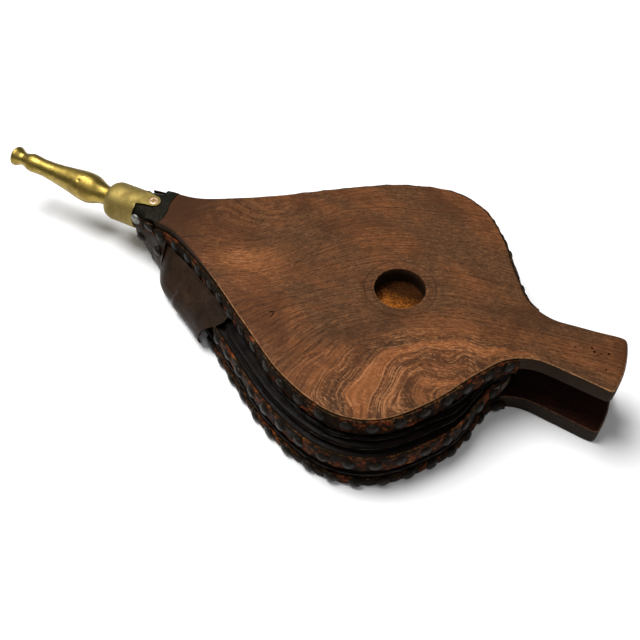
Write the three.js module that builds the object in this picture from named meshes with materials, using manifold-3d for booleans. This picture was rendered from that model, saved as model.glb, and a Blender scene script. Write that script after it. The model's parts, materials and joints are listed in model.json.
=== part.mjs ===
// A hand bellows: two shaped boards with handles, joined at a nose block, with pleated leather
// between them, a wooden hoop inside the leather, a brass nozzle, and a flap valve in the top board.
// Millimetres, +Z up. The bottom board lies flat on Z = 0, the nozzle points along -X.
// X is measured along the boards' middle line from the neck of the nose while the parts are made.
// The whole object is moved at the end, so that its origin is under the middle of its box.

import * as THREE from 'three';
import { mergeVertices } from 'three/addons/utils/BufferGeometryUtils.js';
import Module from 'manifold-3d';

const wasm = await Module();
wasm.setup();

// ---- driving dimensions ----

const boardHalfWidth = 100;      // top board, at its widest
const widestX = 166;             // where it is widest, and where the valve hole is
const handleEndX = 306.5;
const topBoardThickness = 11.5;
const bottomBoardThickness = 12;
const bottomHandleExtra = 2.4;   // the bottom handle is this much longer
const bottomOverhang = 11;       // the bottom board stands out this far round the belly

const hingeX = -10;              // leather hinge across the nose, on the top surface
const hingeZ = 47.5;
const topBoardTilt = THREE.MathUtils.degToRad(1.5);
const hoopTilt = topBoardTilt / 2;

const gap = 0.3;                 // left between pieces that touch
const leather = 1.6;             // thickness of the bellows leather
const trimLeather = 1.4;         // thickness of the strips under the nails

const nail = { radius: 4.1, height: 2.7, pitch: 15.6, margin: 5.6 };
const valveHoleRadius = 16.3;

const hoop = { height: 8, width: 7, centre: -27.6, inset: 1 };

const topTrim = { low: -14, high: -1.2, nailAt: -6.6 };
const middleTrim = { low: -7.4, high: 6.4, nailAt: -0.6 };
const bottomTrim = { low: 0.6, high: 7.6, nailAt: 4.4 };

const ferrule = {
  frontX: -58, rearX: -31, radius: 14.1, wall: 2.4, axisZ: 34.6,
  mouth: 8.2, mouthLength: 3, shoulder: 7, socketX: -49,
};
const ear = { rootHalf: 6.5, tipHalf: 4.8, thickness: 1.4, screwX: -19.8, lap: 4 };
const screw = { radius: 3.3, height: 1.6, slot: 0.9, slotDepth: 0.6, slotShare: 0.75, turn: 0.5 };
const nozzle = {
  tipX: -141.6, rearX: -49, bore: 3.6, boreTaper: 20, rearBore: 4.8, neck: 7.2,
  tilt: THREE.MathUtils.degToRad(6),
};
const airDuctRadius = 5;

// Distance from the nozzle's tip and radius: the lip with its sharp edge, then the turned barrel.
const nozzleLip = [[0, 6.2], [1.5, 7.1], [4, 6.8]];
const nozzleBarrel = [
  [8.5, 4.9], [15, 6.8], [24, 6.4], [40, 7.6], [56, 10.1], [65, 11.1], [72, 10], [80, 7.2],
];

const noseBlock = {
  frontX: -30.7, rearX: -10.4, spigotX: -47,
  frontRadius: 11.2, rearHalfWidth: 13.6, rearTop: 45.6, rearLow: 12.3,
  undersideRise: 1.9, squareness: 7,
};
const wrap = { standOff: 0.3, thickness: 1.2, pastSide: 0.12 * Math.PI };
const bottomFrontX = -20;

const flap = { halfWidth: 24, tabX: 134, hingeX: 143, rearX: 192, thickness: 2.2, bevel: 0.9 };
const flapDisc = { radius: 19, thickness: 2 };
const strap = { width: 9, thickness: 1.2, x: 172, drop: 17, reach: 30, shoulder: 3, bottom: 25.5, foot: 8 };
const tack = { radius: 2.6, height: 1.6 };

const noseTrim = { low: 34.5, high: 45.3, nailAt: 40, pitch: 11 };
const patch = { fromX: -7, toX: 54, low: 3, high: 32.3, standOff: 0.6, nailX: -1, nailZ: 20 };

// ---- finishes ----

const finishes = {
  topWood: { color: 0x5b3220, roughness: 0.5, metalness: 0 },
  sideWood: { color: 0x33231a, roughness: 0.55, metalness: 0 },
  hoopWood: { color: 0x8a6a45, roughness: 0.7, metalness: 0 },
  blackLeather: { color: 0x15110f, roughness: 0.4, metalness: 0 },
  brownLeather: { color: 0x3a2418, roughness: 0.5, metalness: 0 },
  trim: { color: 0x6b3a1e, roughness: 0.6, metalness: 0 },
  suede: { color: 0x9a6238, roughness: 0.9, metalness: 0 },
  brass: { color: 0xb59a4a, roughness: 0.35, metalness: 1 },
  darkNail: { color: 0x3a3a30, roughness: 0.35, metalness: 1 },
};

// ---- joining and cutting ----

function toSolid(geometry) {
  const bare = geometry.clone();
  bare.deleteAttribute('normal');
  bare.deleteAttribute('uv');
  const merged = mergeVertices(bare, 1e-4);
  return new wasm.Manifold(new wasm.Mesh({
    numProp: 3,
    vertProperties: new Float32Array(merged.attributes.position.array),
    triVerts: new Uint32Array(merged.index.array),
  }));
}

function toGeometry(solid) {
  const { vertProperties, triVerts, numProp } = solid.getMesh();
  const geometry = new THREE.BufferGeometry();
  const positions = new Float32Array((vertProperties.length / numProp) * 3);
  for (let i = 0; i < positions.length / 3; i++) {
    for (let k = 0; k < 3; k++) positions[3 * i + k] = vertProperties[numProp * i + k];
  }
  geometry.setAttribute('position', new THREE.BufferAttribute(positions, 3));
  geometry.setIndex(new THREE.BufferAttribute(new Uint32Array(triVerts), 1));
  geometry.computeVertexNormals();
  return geometry;
}

function cut(geometry, ...tools) {
  return toGeometry(tools.reduce((solid, tool) => solid.subtract(toSolid(tool)), toSolid(geometry)));
}

function join(geometry, ...others) {
  return toGeometry(others.reduce((solid, other) => solid.add(toSolid(other)), toSolid(geometry)));
}

function mirrored(geometry) {
  const copy = geometry.clone().scale(1, -1, 1);
  const index = copy.index.array;
  for (let i = 0; i < index.length; i += 3) [index[i], index[i + 1]] = [index[i + 1], index[i]];
  copy.computeVertexNormals();
  return copy;
}

function place(parent, name, geometry, finish) {
  const mesh = new THREE.Mesh(geometry, new THREE.MeshStandardMaterial(finishes[finish]));
  mesh.name = name;
  parent.add(mesh);
  return mesh;
}

// ---- outline of the boards ----
// Half widths along the middle line: neck, shoulder, belly, the two reverse curves and the handle.

const halfWidths = [
  [hingeX, 15.3], [4, 17], [26, 26.6], [54, 42.8], [92, 67.7], [130, 90.5],
  [widestX, boardHalfWidth], [190, 93.2], [212, 70.5], [230, 41], [243, 24],
  [258, 17.2], [280, 18.3], [301, 20.6],
];

const sideCurve = new THREE.CatmullRomCurve3(
  halfWidths.map(([x, y]) => new THREE.Vector3(x, y, 0)), false, 'centripetal');

function sidePoints(count) {
  return sideCurve.getSpacedPoints(count).map(({ x, y }) => new THREE.Vector2(x, y));
}

function overhangAt(x) {
  const rise = THREE.MathUtils.smoothstep(x, -14, 40);
  const fall = THREE.MathUtils.smoothstep(x, 217, 243);
  return bottomOverhang * rise * (1 - fall);
}

// Moves every point of an open line outwards by the distance that distanceAt gives for its x.
function offset(points, distanceAt) {
  return points.map((point, i) => {
    const before = points[Math.max(i - 1, 0)];
    const after = points[Math.min(i + 1, points.length - 1)];
    const along = after.clone().sub(before).normalize();
    const outward = new THREE.Vector2(-along.y, along.x);
    return point.clone().addScaledVector(outward, distanceAt(point.x));
  });
}

// A closed shape from one side's points, its mirror image, and a gently rounded handle end.
function boardShape(side, endX, frontX) {
  const shape = new THREE.Shape();
  const corner = side[side.length - 1];
  const nose = side[0];
  shape.moveTo(nose.x, -nose.y);
  for (const point of side.slice(1)) shape.lineTo(point.x, -point.y);
  shape.quadraticCurveTo(endX - 2.3, -corner.y, endX - 1.8, -corner.y + 4);
  shape.quadraticCurveTo(endX + 1.8, 0, endX - 1.8, corner.y - 4);
  shape.quadraticCurveTo(endX - 2.3, corner.y, corner.x, corner.y);
  for (const point of side.slice(1, -1).reverse()) shape.lineTo(point.x, point.y);
  shape.lineTo(nose.x, nose.y);
  if (frontX < nose.x) {
    shape.quadraticCurveTo(frontX, nose.y, frontX, 0);
    shape.quadraticCurveTo(frontX, -nose.y, nose.x, -nose.y);
  }
  return shape;
}

// ---- lofted solids ----

function steps(from, to, count) {
  return Array.from({ length: count + 1 }, (_, i) => from + (to - from) * i / count);
}

// sections: rings of Vector3, equal in number, anticlockwise seen from the far end of the run.
// outlines: the first and the last ring as flat shapes, for the end caps.
function loft(sections, outlines) {
  const positions = sections.flat().flatMap((point) => point.toArray());
  const index = [];
  const sides = sections[0].length;
  for (let i = 0; i + 1 < sections.length; i++) {
    for (let j = 0; j < sides; j++) {
      const a = i * sides + j;
      const b = i * sides + (j + 1) % sides;
      index.push(a, b, a + sides, b, b + sides, a + sides);
    }
  }
  const last = (sections.length - 1) * sides;
  for (const [a, b, c] of THREE.ShapeUtils.triangulateShape(outlines[0], [])) index.push(a, c, b);
  for (const [a, b, c] of THREE.ShapeUtils.triangulateShape(outlines[1], [])) {
    index.push(last + a, last + b, last + c);
  }
  const geometry = new THREE.BufferGeometry();
  geometry.setAttribute('position', new THREE.Float32BufferAttribute(positions, 3));
  geometry.setIndex(index);
  geometry.computeVertexNormals();
  return geometry;
}

// A strip that follows a line in plan. line: Vector2 points, with the outward side on their left.
// sectionAt(point) gives the corners of the section as [outward, up], in the same order everywhere.
function strip(line, sectionAt) {
  const sections = line.map((point, i) => {
    const along = line[Math.min(i + 1, line.length - 1)].clone().sub(line[Math.max(i - 1, 0)]);
    along.normalize();
    return sectionAt(point).map(([out, up]) =>
      new THREE.Vector3(point.x - along.y * out, point.y + along.x * out, up));
  });
  const flat = (point) => sectionAt(point).map(([out, up]) => new THREE.Vector2(out, up));
  return loft(sections, [flat(line[0]), flat(line[line.length - 1])]);
}

// A dome that stands up from its foot, which goes a little way into what it sits on.
function dome(radius, height, foot) {
  const arc = steps(0, Math.PI / 2, 2).map((angle) =>
    new THREE.Vector2(radius * Math.cos(angle), height * Math.sin(angle)));
  arc[arc.length - 1].x = 0;
  const profile = [new THREE.Vector2(0, -foot), new THREE.Vector2(radius, -foot), ...arc];
  return new THREE.LatheGeometry(profile, 7).rotateX(Math.PI / 2);
}

// A nail head that faces outwards from a rim.
function nailHead(point, outward, z, radius = nail.radius) {
  const head = dome(radius, nail.height, trimLeather / 2).rotateY(Math.PI / 2);
  head.rotateZ(Math.atan2(outward.y, outward.x));
  return head.translate(point.x, point.y, z);
}

// Points evenly spaced along a line, clear of its ends, with the outward direction at each.
function nailPlaces(line, pitch) {
  const { margin } = nail;
  const curve = new THREE.CatmullRomCurve3(line.map(({ x, y }) => new THREE.Vector3(x, y, 0)));
  const length = curve.getLength();
  const count = Math.max(1, Math.round((length - 2 * margin) / pitch));
  return steps(margin / length, 1 - margin / length, count).map((t) => {
    const along = curve.getTangentAt(t);
    return { point: curve.getPointAt(t), outward: new THREE.Vector2(-along.y, along.x) };
  });
}

// A leather strip on a board's rim, with its row of nail heads.
function nailedTrim(line, trim, pitch = nail.pitch) {
  const face = gap + trimLeather;
  const section = () => [[gap, trim.low], [face, trim.low], [face, trim.high], [gap, trim.high]];
  const heads = nailPlaces(line, pitch).map(({ point, outward }) => {
    const onFace = { x: point.x + outward.x * face, y: point.y + outward.y * face };
    return nailHead(onFace, outward, trim.nailAt);
  });
  return join(strip(line, section), ...heads);
}

// ---- the bodies' frames ----

const bellows = new THREE.Group();

const topBoardFrame = new THREE.Group();
topBoardFrame.position.set(hingeX, 0, hingeZ);
topBoardFrame.rotation.y = -topBoardTilt;
bellows.add(topBoardFrame);

const hoopFrame = new THREE.Group();
hoopFrame.position.set(hingeX, 0, hingeZ);
hoopFrame.rotation.y = -hoopTilt;
bellows.add(hoopFrame);

// Lines and shapes are drawn from the neck, and the tilted frames start at the hinge.
function fromHinge(geometry) {
  return geometry.translate(-hingeX, 0, 0);
}

// ---- boards ----

function board(shape, low, thickness) {
  const settings = { depth: thickness, bevelEnabled: false, curveSegments: 6 };
  return new THREE.ExtrudeGeometry(shape, settings).translate(0, 0, low);
}

const topSide = sidePoints(32);
const bottomSide = offset(topSide, overhangAt);
bottomSide[bottomSide.length - 1].x += bottomHandleExtra;

function makeTopBoard() {
  const blank = board(boardShape(topSide, handleEndX, hingeX), -topBoardThickness, topBoardThickness);
  const drill = 4 * topBoardThickness;
  const valveHole = new THREE.CylinderGeometry(valveHoleRadius, valveHoleRadius, drill, 40);
  valveHole.rotateX(Math.PI / 2);
  valveHole.translate(widestX, 0, 0);
  place(topBoardFrame, 'top_board', fromHinge(cut(blank, valveHole)), 'topWood');
}

function makeBottomBoard() {
  const shape = boardShape(bottomSide, handleEndX + bottomHandleExtra, bottomFrontX);
  place(bellows, 'bottom_board', board(shape, 0, bottomBoardThickness), 'sideWood');
}

// ---- nose: block, wrap, ferrule, nozzle ----

// One ring of the nose's rounded box, at t from 0 at the ferrule to 1 at the hinge.
function noseRing(t, grow, angles) {
  const { lerp } = THREE.MathUtils;
  const { frontRadius, rearHalfWidth, rearTop, rearLow, undersideRise, squareness } = noseBlock;
  const halfWidth = lerp(frontRadius, rearHalfWidth, t) + grow;
  const top = lerp(ferrule.axisZ + frontRadius, rearTop, t) + grow;
  const low = lerp(ferrule.axisZ - frontRadius, rearLow, Math.min(1, undersideRise * t));
  const power = 2 / lerp(2, squareness, t);
  const middle = (top + low) / 2;
  return angles.map((angle) => {
    const c = Math.cos(angle);
    const s = Math.sin(angle);
    return new THREE.Vector2(
      Math.sign(c) * Math.abs(c) ** power * halfWidth,
      middle + Math.sign(s) * Math.abs(s) ** power * (top - middle));
  });
}

function noseLoft(ringAt) {
  const { frontX, rearX } = noseBlock;
  const places = steps(0, 1, 6);
  const sections = places.map((t) => ringAt(t).map(({ x, y }) =>
    new THREE.Vector3(THREE.MathUtils.lerp(frontX, rearX, t), x, y)));
  return loft(sections, [ringAt(0), ringAt(1)]);
}

function alongX(radius, fromX, toX, segments) {
  const rod = new THREE.CylinderGeometry(radius, radius, toX - fromX, segments);
  rod.rotateZ(Math.PI / 2);
  return rod.translate((fromX + toX) / 2, 0, ferrule.axisZ);
}

function makeNoseBlock() {
  const angles = steps(0, 2 * Math.PI, 32).slice(0, -1);
  const body = noseLoft((t) => noseRing(t, 0, angles));
  const spigot = alongX(noseBlock.frontRadius, noseBlock.spigotX, noseBlock.frontX + 1, 32);
  const duct = alongX(airDuctRadius, noseBlock.spigotX - 1, noseBlock.rearX + 1, 20);
  place(bellows, 'nose_block', cut(join(body, spigot), duct), 'sideWood');
}

function makeNoseWrap() {
  const over = steps(-wrap.pastSide, Math.PI + wrap.pastSide, 26);
  const geometry = noseLoft((t) => [
    ...noseRing(t, wrap.standOff + wrap.thickness, over),
    ...noseRing(t, wrap.standOff, over).reverse(),
  ]);
  place(bellows, 'nose_wrap', geometry, 'blackLeather');
}

// Turns a profile of [x, radius] points round the nose's axis.
function turned(profile, segments) {
  const geometry = new THREE.LatheGeometry(profile.map(([x, r]) => new THREE.Vector2(r, x)), segments);
  geometry.rotateZ(-Math.PI / 2);
  return geometry.translate(0, 0, ferrule.axisZ);
}

// The socket, with a tongue behind it that lies along the top of the nose and takes the screw.
function makeFerrule() {
  const { frontX, rearX, radius, wall, mouth, mouthLength, shoulder, socketX } = ferrule;
  const neckRadius = mouth + 1.2;
  const round = steps(0, Math.PI / 2, 4).map((angle) => [
    frontX + shoulder * (1 - Math.cos(angle)),
    neckRadius + (radius - neckRadius) * Math.sin(angle),
  ]);
  const inner = radius - wall;
  const socket = turned([
    [frontX, mouth], ...round, [rearX, radius], [rearX, inner],
    [socketX, inner], [frontX + mouthLength, mouth], [frontX, mouth],
  ], 32);
  const inside = turned([[socketX, 0], [socketX, inner], [rearX + 0.1, inner], [rearX + 0.1, 0]], 32);

  const tongue = new THREE.Shape();
  tongue.moveTo(rearX - ear.lap, -ear.rootHalf);
  tongue.lineTo(rearX + 1, -ear.rootHalf);
  tongue.lineTo(ear.screwX, -ear.tipHalf);
  tongue.absarc(ear.screwX, 0, ear.tipHalf, -Math.PI / 2, Math.PI / 2, false);
  tongue.lineTo(rearX + 1, ear.rootHalf);
  tongue.lineTo(rearX - ear.lap, ear.rootHalf);
  const settings = { depth: ear.thickness, bevelEnabled: false, curveSegments: 8 };
  const earSolid = new THREE.ExtrudeGeometry(tongue, settings);
  earSolid.translate(0, 0, ferrule.axisZ + radius - ear.thickness);

  const screwHole = upright(screw.radius + gap, 4 * screw.height, 20);
  screwHole.translate(ear.screwX, 0, ferrule.axisZ + radius);
  place(bellows, 'ferrule', cut(join(socket, cut(earSolid, inside)), screwHole), 'brass');
}

function upright(radius, height, segments) {
  return new THREE.CylinderGeometry(radius, radius, height, segments).rotateX(Math.PI / 2);
}

function makeFerruleScrew() {
  const head = upright(screw.radius, screw.height, 20);
  const slots = [0, Math.PI / 2].map((quarter) => {
    const length = 2 * screw.radius * screw.slotShare;
    const slot = new THREE.BoxGeometry(length, screw.slot, 2 * screw.slotDepth);
    slot.rotateZ(quarter + screw.turn);
    return slot.translate(0, 0, screw.height / 2);
  });
  const underside = ferrule.axisZ + ferrule.radius - ear.thickness + 0.05;
  const made = cut(head, ...slots).translate(ear.screwX, 0, underside + screw.height / 2);
  place(bellows, 'ferrule_screw', made, 'brass');
}

function makeNozzle() {
  const { tipX, rearX, bore, boreTaper, rearBore, neck, tilt } = nozzle;
  const spline = new THREE.SplineCurve(nozzleBarrel.map(([x, r]) => new THREE.Vector2(x, r)));
  const barrel = spline.getPoints(18).map(({ x, y }) => [x, y]);
  const outside = [...nozzleLip, ...barrel].map(([x, r]) => [tipX + x, r]);
  const profile = [
    ...outside, [rearX, neck], [rearX, rearBore], [tipX + boreTaper, bore], [tipX, bore + 1], outside[0],
  ];
  const geometry = turned(profile, 20).translate(-rearX, 0, -ferrule.axisZ);
  const mesh = place(bellows, 'nozzle', geometry, 'brass');
  mesh.position.set(rearX, 0, ferrule.axisZ);
  mesh.rotation.y = tilt;
}

// ---- hoop and leather between the boards ----

const ringCorner = { fromX: 239, tailX: 247, bend: 7, reach: 16 };

// Runs round the belly from one side of the nose to the other, and across between the handles.
function ringLine(inset) {
  const inRange = topSide.filter(({ x }) => x > hingeX + 8 && x < ringCorner.fromX);
  const line = offset(inRange, (x) => overhangAt(x) - inset);
  line.forEach((point, i) => { point.flare = overhangAt(inRange[i].x) - inset; });
  const end = line[line.length - 1];
  const { tailX, bend, reach } = ringCorner;
  const corner = new THREE.QuadraticBezierCurve(
    end, new THREE.Vector2(tailX - 1, end.y - bend), new THREE.Vector2(tailX, end.y - reach));
  const half = [...line, ...corner.getPoints(4).slice(1)];
  half.forEach((point) => { point.flare ??= inset; });
  const otherHalf = half.map(({ x, y, flare }) => Object.assign(new THREE.Vector2(x, -y), { flare }));
  return [...half, ...otherHalf.reverse()];
}

function makeHoop() {
  const low = hoop.centre - hoop.height / 2;
  const high = hoop.centre + hoop.height / 2;
  const section = () => [[-hoop.width, low], [0, low], [0, high], [-hoop.width, high]];
  place(hoopFrame, 'middle_hoop', fromHinge(strip(ringLine(hoop.inset), section)), 'hoopWood');
}

// The top board's underside in the hoop's frame, which leans half as much.
function topBoardUnderside(x) {
  return -topBoardThickness - 2 * gap + (topBoardTilt - hoopTilt) * (x - hingeX);
}

function makeUpperLeather() {
  const low = hoop.centre + hoop.height / 2 + gap;
  const section = ({ x, flare }) => {
    const high = topBoardUnderside(x);
    const underTrim = high + topBoardThickness + topTrim.low;
    const rise = underTrim - low;
    const face = [
      [-0.5, low], [-0.27 * flare, low + 0.3 * rise], [-0.45 * flare - 3, low + 0.55 * rise],
      [-0.62 * flare, low + 0.8 * rise], [-flare - 1.2, underTrim], [-flare - 2, high],
    ];
    return [...face, ...face.map(([out, up]) => [out - leather, up]).reverse()];
  };
  place(hoopFrame, 'upper_leather', fromHinge(strip(ringLine(hoop.inset), section)), 'blackLeather');
}

function makeLowerLeather() {
  const section = ({ x }) => {
    const low = bottomBoardThickness + gap;
    const high = hingeZ + hoop.centre - hoop.height / 2 + Math.tan(hoopTilt) * (x - hingeX) - 2 * gap;
    const face = [[-1, low], [0, (low + high) / 2], [-1, high]];
    return [...face, ...face.map(([out, up]) => [out - leather, up]).reverse()];
  };
  place(bellows, 'lower_leather', strip(ringLine(hoop.inset), section), 'blackLeather');
}

// ---- nailed strips ----

const trimStartX = 56;
const trimEndX = 250;

function between(points, fromX, toX) {
  return points.filter(({ x }) => x >= fromX && x <= toX);
}

function makeTrims() {
  const top = nailedTrim(between(topSide, hingeX, trimEndX), topTrim);
  place(topBoardFrame, 'top_trim_right', fromHinge(top), 'trim');
  place(topBoardFrame, 'top_trim_left', mirrored(top), 'trim');

  const hoopSide = offset(between(offset(topSide, overhangAt), trimStartX, 243), () => -hoop.inset);
  const shifted = Object.fromEntries(Object.entries(middleTrim).map(([key, up]) => [key, up + hoop.centre]));
  const middle = nailedTrim(hoopSide, shifted);
  place(hoopFrame, 'middle_trim_right', fromHinge(middle), 'trim');
  place(hoopFrame, 'middle_trim_left', mirrored(middle), 'trim');

  const bottom = nailedTrim(between(bottomSide, trimStartX, trimEndX), bottomTrim);
  place(bellows, 'bottom_trim_right', bottom, 'trim');
  place(bellows, 'bottom_trim_left', mirrored(bottom), 'trim');
}

// Both sides of the nose: the trim behind the ferrule, the gusset patch, and their single nails.
function makeNoseSides() {
  const rimOfWrap = [[-29.5, 13.1], [-20, 14.4], [-10.8, 15.4]].map(([x, y]) => new THREE.Vector2(x, y));
  const trim = nailedTrim(rimOfWrap, noseTrim, noseTrim.pitch);
  const side = between(topSide, patch.fromX, patch.toX);
  const patchLine = offset(side, (x) => overhangAt(x) + patch.standOff);
  const patchSolid = strip(patchLine, () => [
    [0, patch.low], [trimLeather, patch.low], [trimLeather, patch.high], [0, patch.high],
  ]);
  const outward = new THREE.Vector2(-0.2, 0.98);
  const nails = {
    patch_nail: [{ x: patch.nailX, y: 22.6 }, patch.nailZ],
    nose_nail: [{ x: -24, y: 15 }, 24],
    rim_nail: [{ x: -14.6, y: 15.5 }, 6],
  };
  place(bellows, 'nose_trim_right', trim, 'trim');
  place(bellows, 'nose_trim_left', mirrored(trim), 'trim');
  place(bellows, 'gusset_patch_right', patchSolid, 'brownLeather');
  place(bellows, 'gusset_patch_left', mirrored(patchSolid), 'brownLeather');
  for (const [name, [point, z]] of Object.entries(nails)) {
    const head = nailHead(point, outward, z);
    place(bellows, `${name}_right`, head, 'darkNail');
    place(bellows, `${name}_left`, mirrored(head), 'darkNail');
  }
}

// ---- valve under the top board ----

const valveFrame = new THREE.Group();
valveFrame.position.set(flap.hingeX - hingeX, 0, -topBoardThickness - gap);
topBoardFrame.add(valveFrame);

// A flat strip across the board. bevel moves its front edge back along the lower side.
function slab(fromX, toX, bevel) {
  const side = [[fromX, 0], [fromX + bevel, -flap.thickness], [toX, -flap.thickness], [toX, 0]];
  const shape = new THREE.Shape(side.map(([x, z]) => new THREE.Vector2(x, z)));
  const geometry = new THREE.ExtrudeGeometry(shape, { depth: 2 * flap.halfWidth, bevelEnabled: false });
  return geometry.rotateX(Math.PI / 2).translate(0, flap.halfWidth, 0);
}

function tackHead(x, y, z) {
  return dome(tack.radius, tack.height, 0).rotateX(Math.PI).translate(x, y, z);
}

function makeValve() {
  const { tabX, hingeX: foldX, rearX, thickness, bevel, halfWidth } = flap;
  place(valveFrame, 'valve_flap_tab', slab(tabX - foldX, -gap / 2, 0), 'suede');
  place(valveFrame, 'valve_flap', slab(gap / 2, rearX - foldX, bevel), 'suede');
  const disc = upright(flapDisc.radius, flapDisc.thickness, 28);
  disc.translate(widestX - foldX, 0, -thickness - gap - flapDisc.thickness / 2);
  place(valveFrame, 'valve_disc', disc, 'hoopWood');
  place(valveFrame, 'valve_strap', strapBand(), 'brownLeather');

  const tacks = {
    tab_tack: [(tabX - foldX) / 2, 0.6 * halfWidth, -thickness - gap],
    strap_tack: [strap.x - foldX, strap.reach + strap.foot / 2, -strap.thickness - gap],
  };
  for (const [name, [x, y, z]] of Object.entries(tacks)) {
    place(valveFrame, `${name}_right`, tackHead(x, y, z), 'darkNail');
    place(valveFrame, `${name}_left`, tackHead(x, -y, z), 'darkNail');
  }
}

// Hangs below the flap from one side to the other, and stops it when it drops open.
function strapBand() {
  const { reach, foot, shoulder, bottom, drop, thickness, width } = strap;
  const side = [[reach + foot, 0], [reach, 0], [reach - shoulder / 2, -shoulder], [bottom, -drop]];
  const upper = [...side, ...side.map(([y, z]) => [-y, z]).reverse()];
  const lower = upper.map(([y, z]) => [y, z - thickness]).reverse();
  const outline = new THREE.Shape([...upper, ...lower].map(([y, z]) => new THREE.Vector2(y, z)));
  const band = new THREE.ExtrudeGeometry(outline, { depth: width, bevelEnabled: false });
  return band.rotateX(Math.PI / 2).rotateZ(Math.PI / 2).translate(strap.x - flap.hingeX - width / 2, 0, 0);
}

makeTopBoard();
makeBottomBoard();
makeNoseBlock();
makeNoseWrap();
makeFerrule();
makeFerruleScrew();
makeNozzle();
makeHoop();
makeUpperLeather();
makeLowerLeather();
makeTrims();
makeNoseSides();
makeValve();

// ---- origin under the middle of the whole ----

const box = new THREE.Box3().setFromObject(bellows, true);
bellows.position.x = -(box.min.x + box.max.x) / 2;

export default bellows;
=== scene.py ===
import json
import math
import random
import bmesh
import bpy
import numpy as np
from mathutils import Matrix, Vector, noise
from mathutils.geometry import delaunay_2d_cdt


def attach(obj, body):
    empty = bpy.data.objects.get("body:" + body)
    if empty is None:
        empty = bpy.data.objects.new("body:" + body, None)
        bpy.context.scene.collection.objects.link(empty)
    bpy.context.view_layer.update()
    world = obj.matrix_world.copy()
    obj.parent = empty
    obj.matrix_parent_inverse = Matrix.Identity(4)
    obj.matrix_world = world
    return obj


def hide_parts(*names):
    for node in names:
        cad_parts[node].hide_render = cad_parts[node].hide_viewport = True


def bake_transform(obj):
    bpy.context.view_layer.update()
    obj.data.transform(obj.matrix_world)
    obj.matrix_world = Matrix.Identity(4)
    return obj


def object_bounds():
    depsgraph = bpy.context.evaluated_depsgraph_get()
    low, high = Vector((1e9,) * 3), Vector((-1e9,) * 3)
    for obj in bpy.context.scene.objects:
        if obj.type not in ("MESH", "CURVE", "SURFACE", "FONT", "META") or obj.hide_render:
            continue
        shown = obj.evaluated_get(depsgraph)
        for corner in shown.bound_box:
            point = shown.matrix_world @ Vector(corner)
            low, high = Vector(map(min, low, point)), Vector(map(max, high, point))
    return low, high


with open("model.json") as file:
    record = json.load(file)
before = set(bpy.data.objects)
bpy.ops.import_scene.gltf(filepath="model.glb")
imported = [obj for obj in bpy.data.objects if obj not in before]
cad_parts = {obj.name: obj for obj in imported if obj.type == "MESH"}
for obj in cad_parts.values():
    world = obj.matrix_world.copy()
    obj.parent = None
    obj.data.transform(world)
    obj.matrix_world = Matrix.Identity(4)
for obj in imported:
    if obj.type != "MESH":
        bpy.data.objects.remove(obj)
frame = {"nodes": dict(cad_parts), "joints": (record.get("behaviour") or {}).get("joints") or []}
cadLow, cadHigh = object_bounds()

# Pieces are drawn in millimetres from the neck of the nose, and the places below put them in the frame.
mm = 0.001
layout = {"hingeX": -10, "topTilt": 1.5, "topThickness": 11.5, "bottomThickness": 12, "rimGap": 0.3}
joints = {joint["name"]: joint for joint in frame["joints"]}
hinge = Vector(joints["top_board_hinge"]["pos_m"])
sides = ((-1, "left"), (1, "right"))


def placeAt(origin, tilt):
    turn = Matrix.Rotation(-math.radians(tilt), 4, "Y")
    fromHinge = Matrix.Translation((-layout["hingeX"], 0, 0))
    return Matrix.Translation(origin) @ turn @ Matrix.Scale(mm, 4) @ fromHinge


topPlace = placeAt(hinge, layout["topTilt"])           # z = 0 on the top surface
hoopPlace = placeAt(hinge, layout["topTilt"] / 2)      # z = 0 level with the hinge
basePlace = placeAt(Vector((hinge.x, 0, 0)), 0)        # z = 0 on the floor
hingeZ = hinge.z / mm

cameraSet = {"spot": (261.4, -310.8, 379.6), "heading": 26.15, "dip": 46.59, "roll": -0.757,
             "lens": 44.12, "sensor": 36, "shiftX": 0.0025, "shiftY": -0.1168, "clip": 0.01}


def makeCamera(s):
    data = bpy.data.cameras.new("camera")
    data.lens = s["lens"]
    data.sensor_width = s["sensor"]
    data.shift_x = s["shiftX"]
    data.shift_y = s["shiftY"]
    data.clip_start = s["clip"]
    camera = bpy.data.objects.new("camera", data)
    bpy.context.scene.collection.objects.link(camera)
    aim = Matrix.Rotation(math.radians(s["heading"]), 4, "Z")
    aim = aim @ Matrix.Rotation(math.radians(90 - s["dip"]), 4, "X")
    aim = aim @ Matrix.Rotation(math.radians(s["roll"]), 4, "Z")
    lean = Matrix.Rotation(-math.radians(layout["topTilt"]), 4, "Y")
    camera.matrix_world = Matrix.Translation(topPlace @ Vector(s["spot"])) @ lean @ aim
    bpy.context.scene.camera = camera


makeCamera(cameraSet)
print("camera placed")


# Short names for shader nodes; each takes the node tree first.
def addNode(tree, kind, inputs=None, **settings):
    node = tree.nodes.new("ShaderNode" + kind)
    for key, value in settings.items():
        setattr(node, key, value)
    for key, value in (inputs or {}).items():
        fill(tree, node.inputs[key], value)
    return node


def fill(tree, socket, value):
    if isinstance(value, bpy.types.NodeSocket):
        tree.links.new(value, socket)
    else:
        socket.default_value = value


def calc(tree, operation, a, b=0.0):
    return addNode(tree, "Math", {0: a, 1: b}, operation=operation).outputs[0]


def sums(tree):
    # times, plus and minus for one tree
    return [lambda a, b, kind=kind: calc(tree, kind, a, b) for kind in ("MULTIPLY", "ADD", "SUBTRACT")]


def joined(tree, x, y=0.0, z=0.0):
    return addNode(tree, "CombineXYZ", {0: x, 1: y, 2: z}).outputs[0]


def apart(tree, vector):
    return addNode(tree, "SeparateXYZ", {0: vector}).outputs


def vectorCalc(tree, operation, a, b):
    return addNode(tree, "VectorMath", {0: a, 1: b}, operation=operation).outputs[0]


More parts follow.
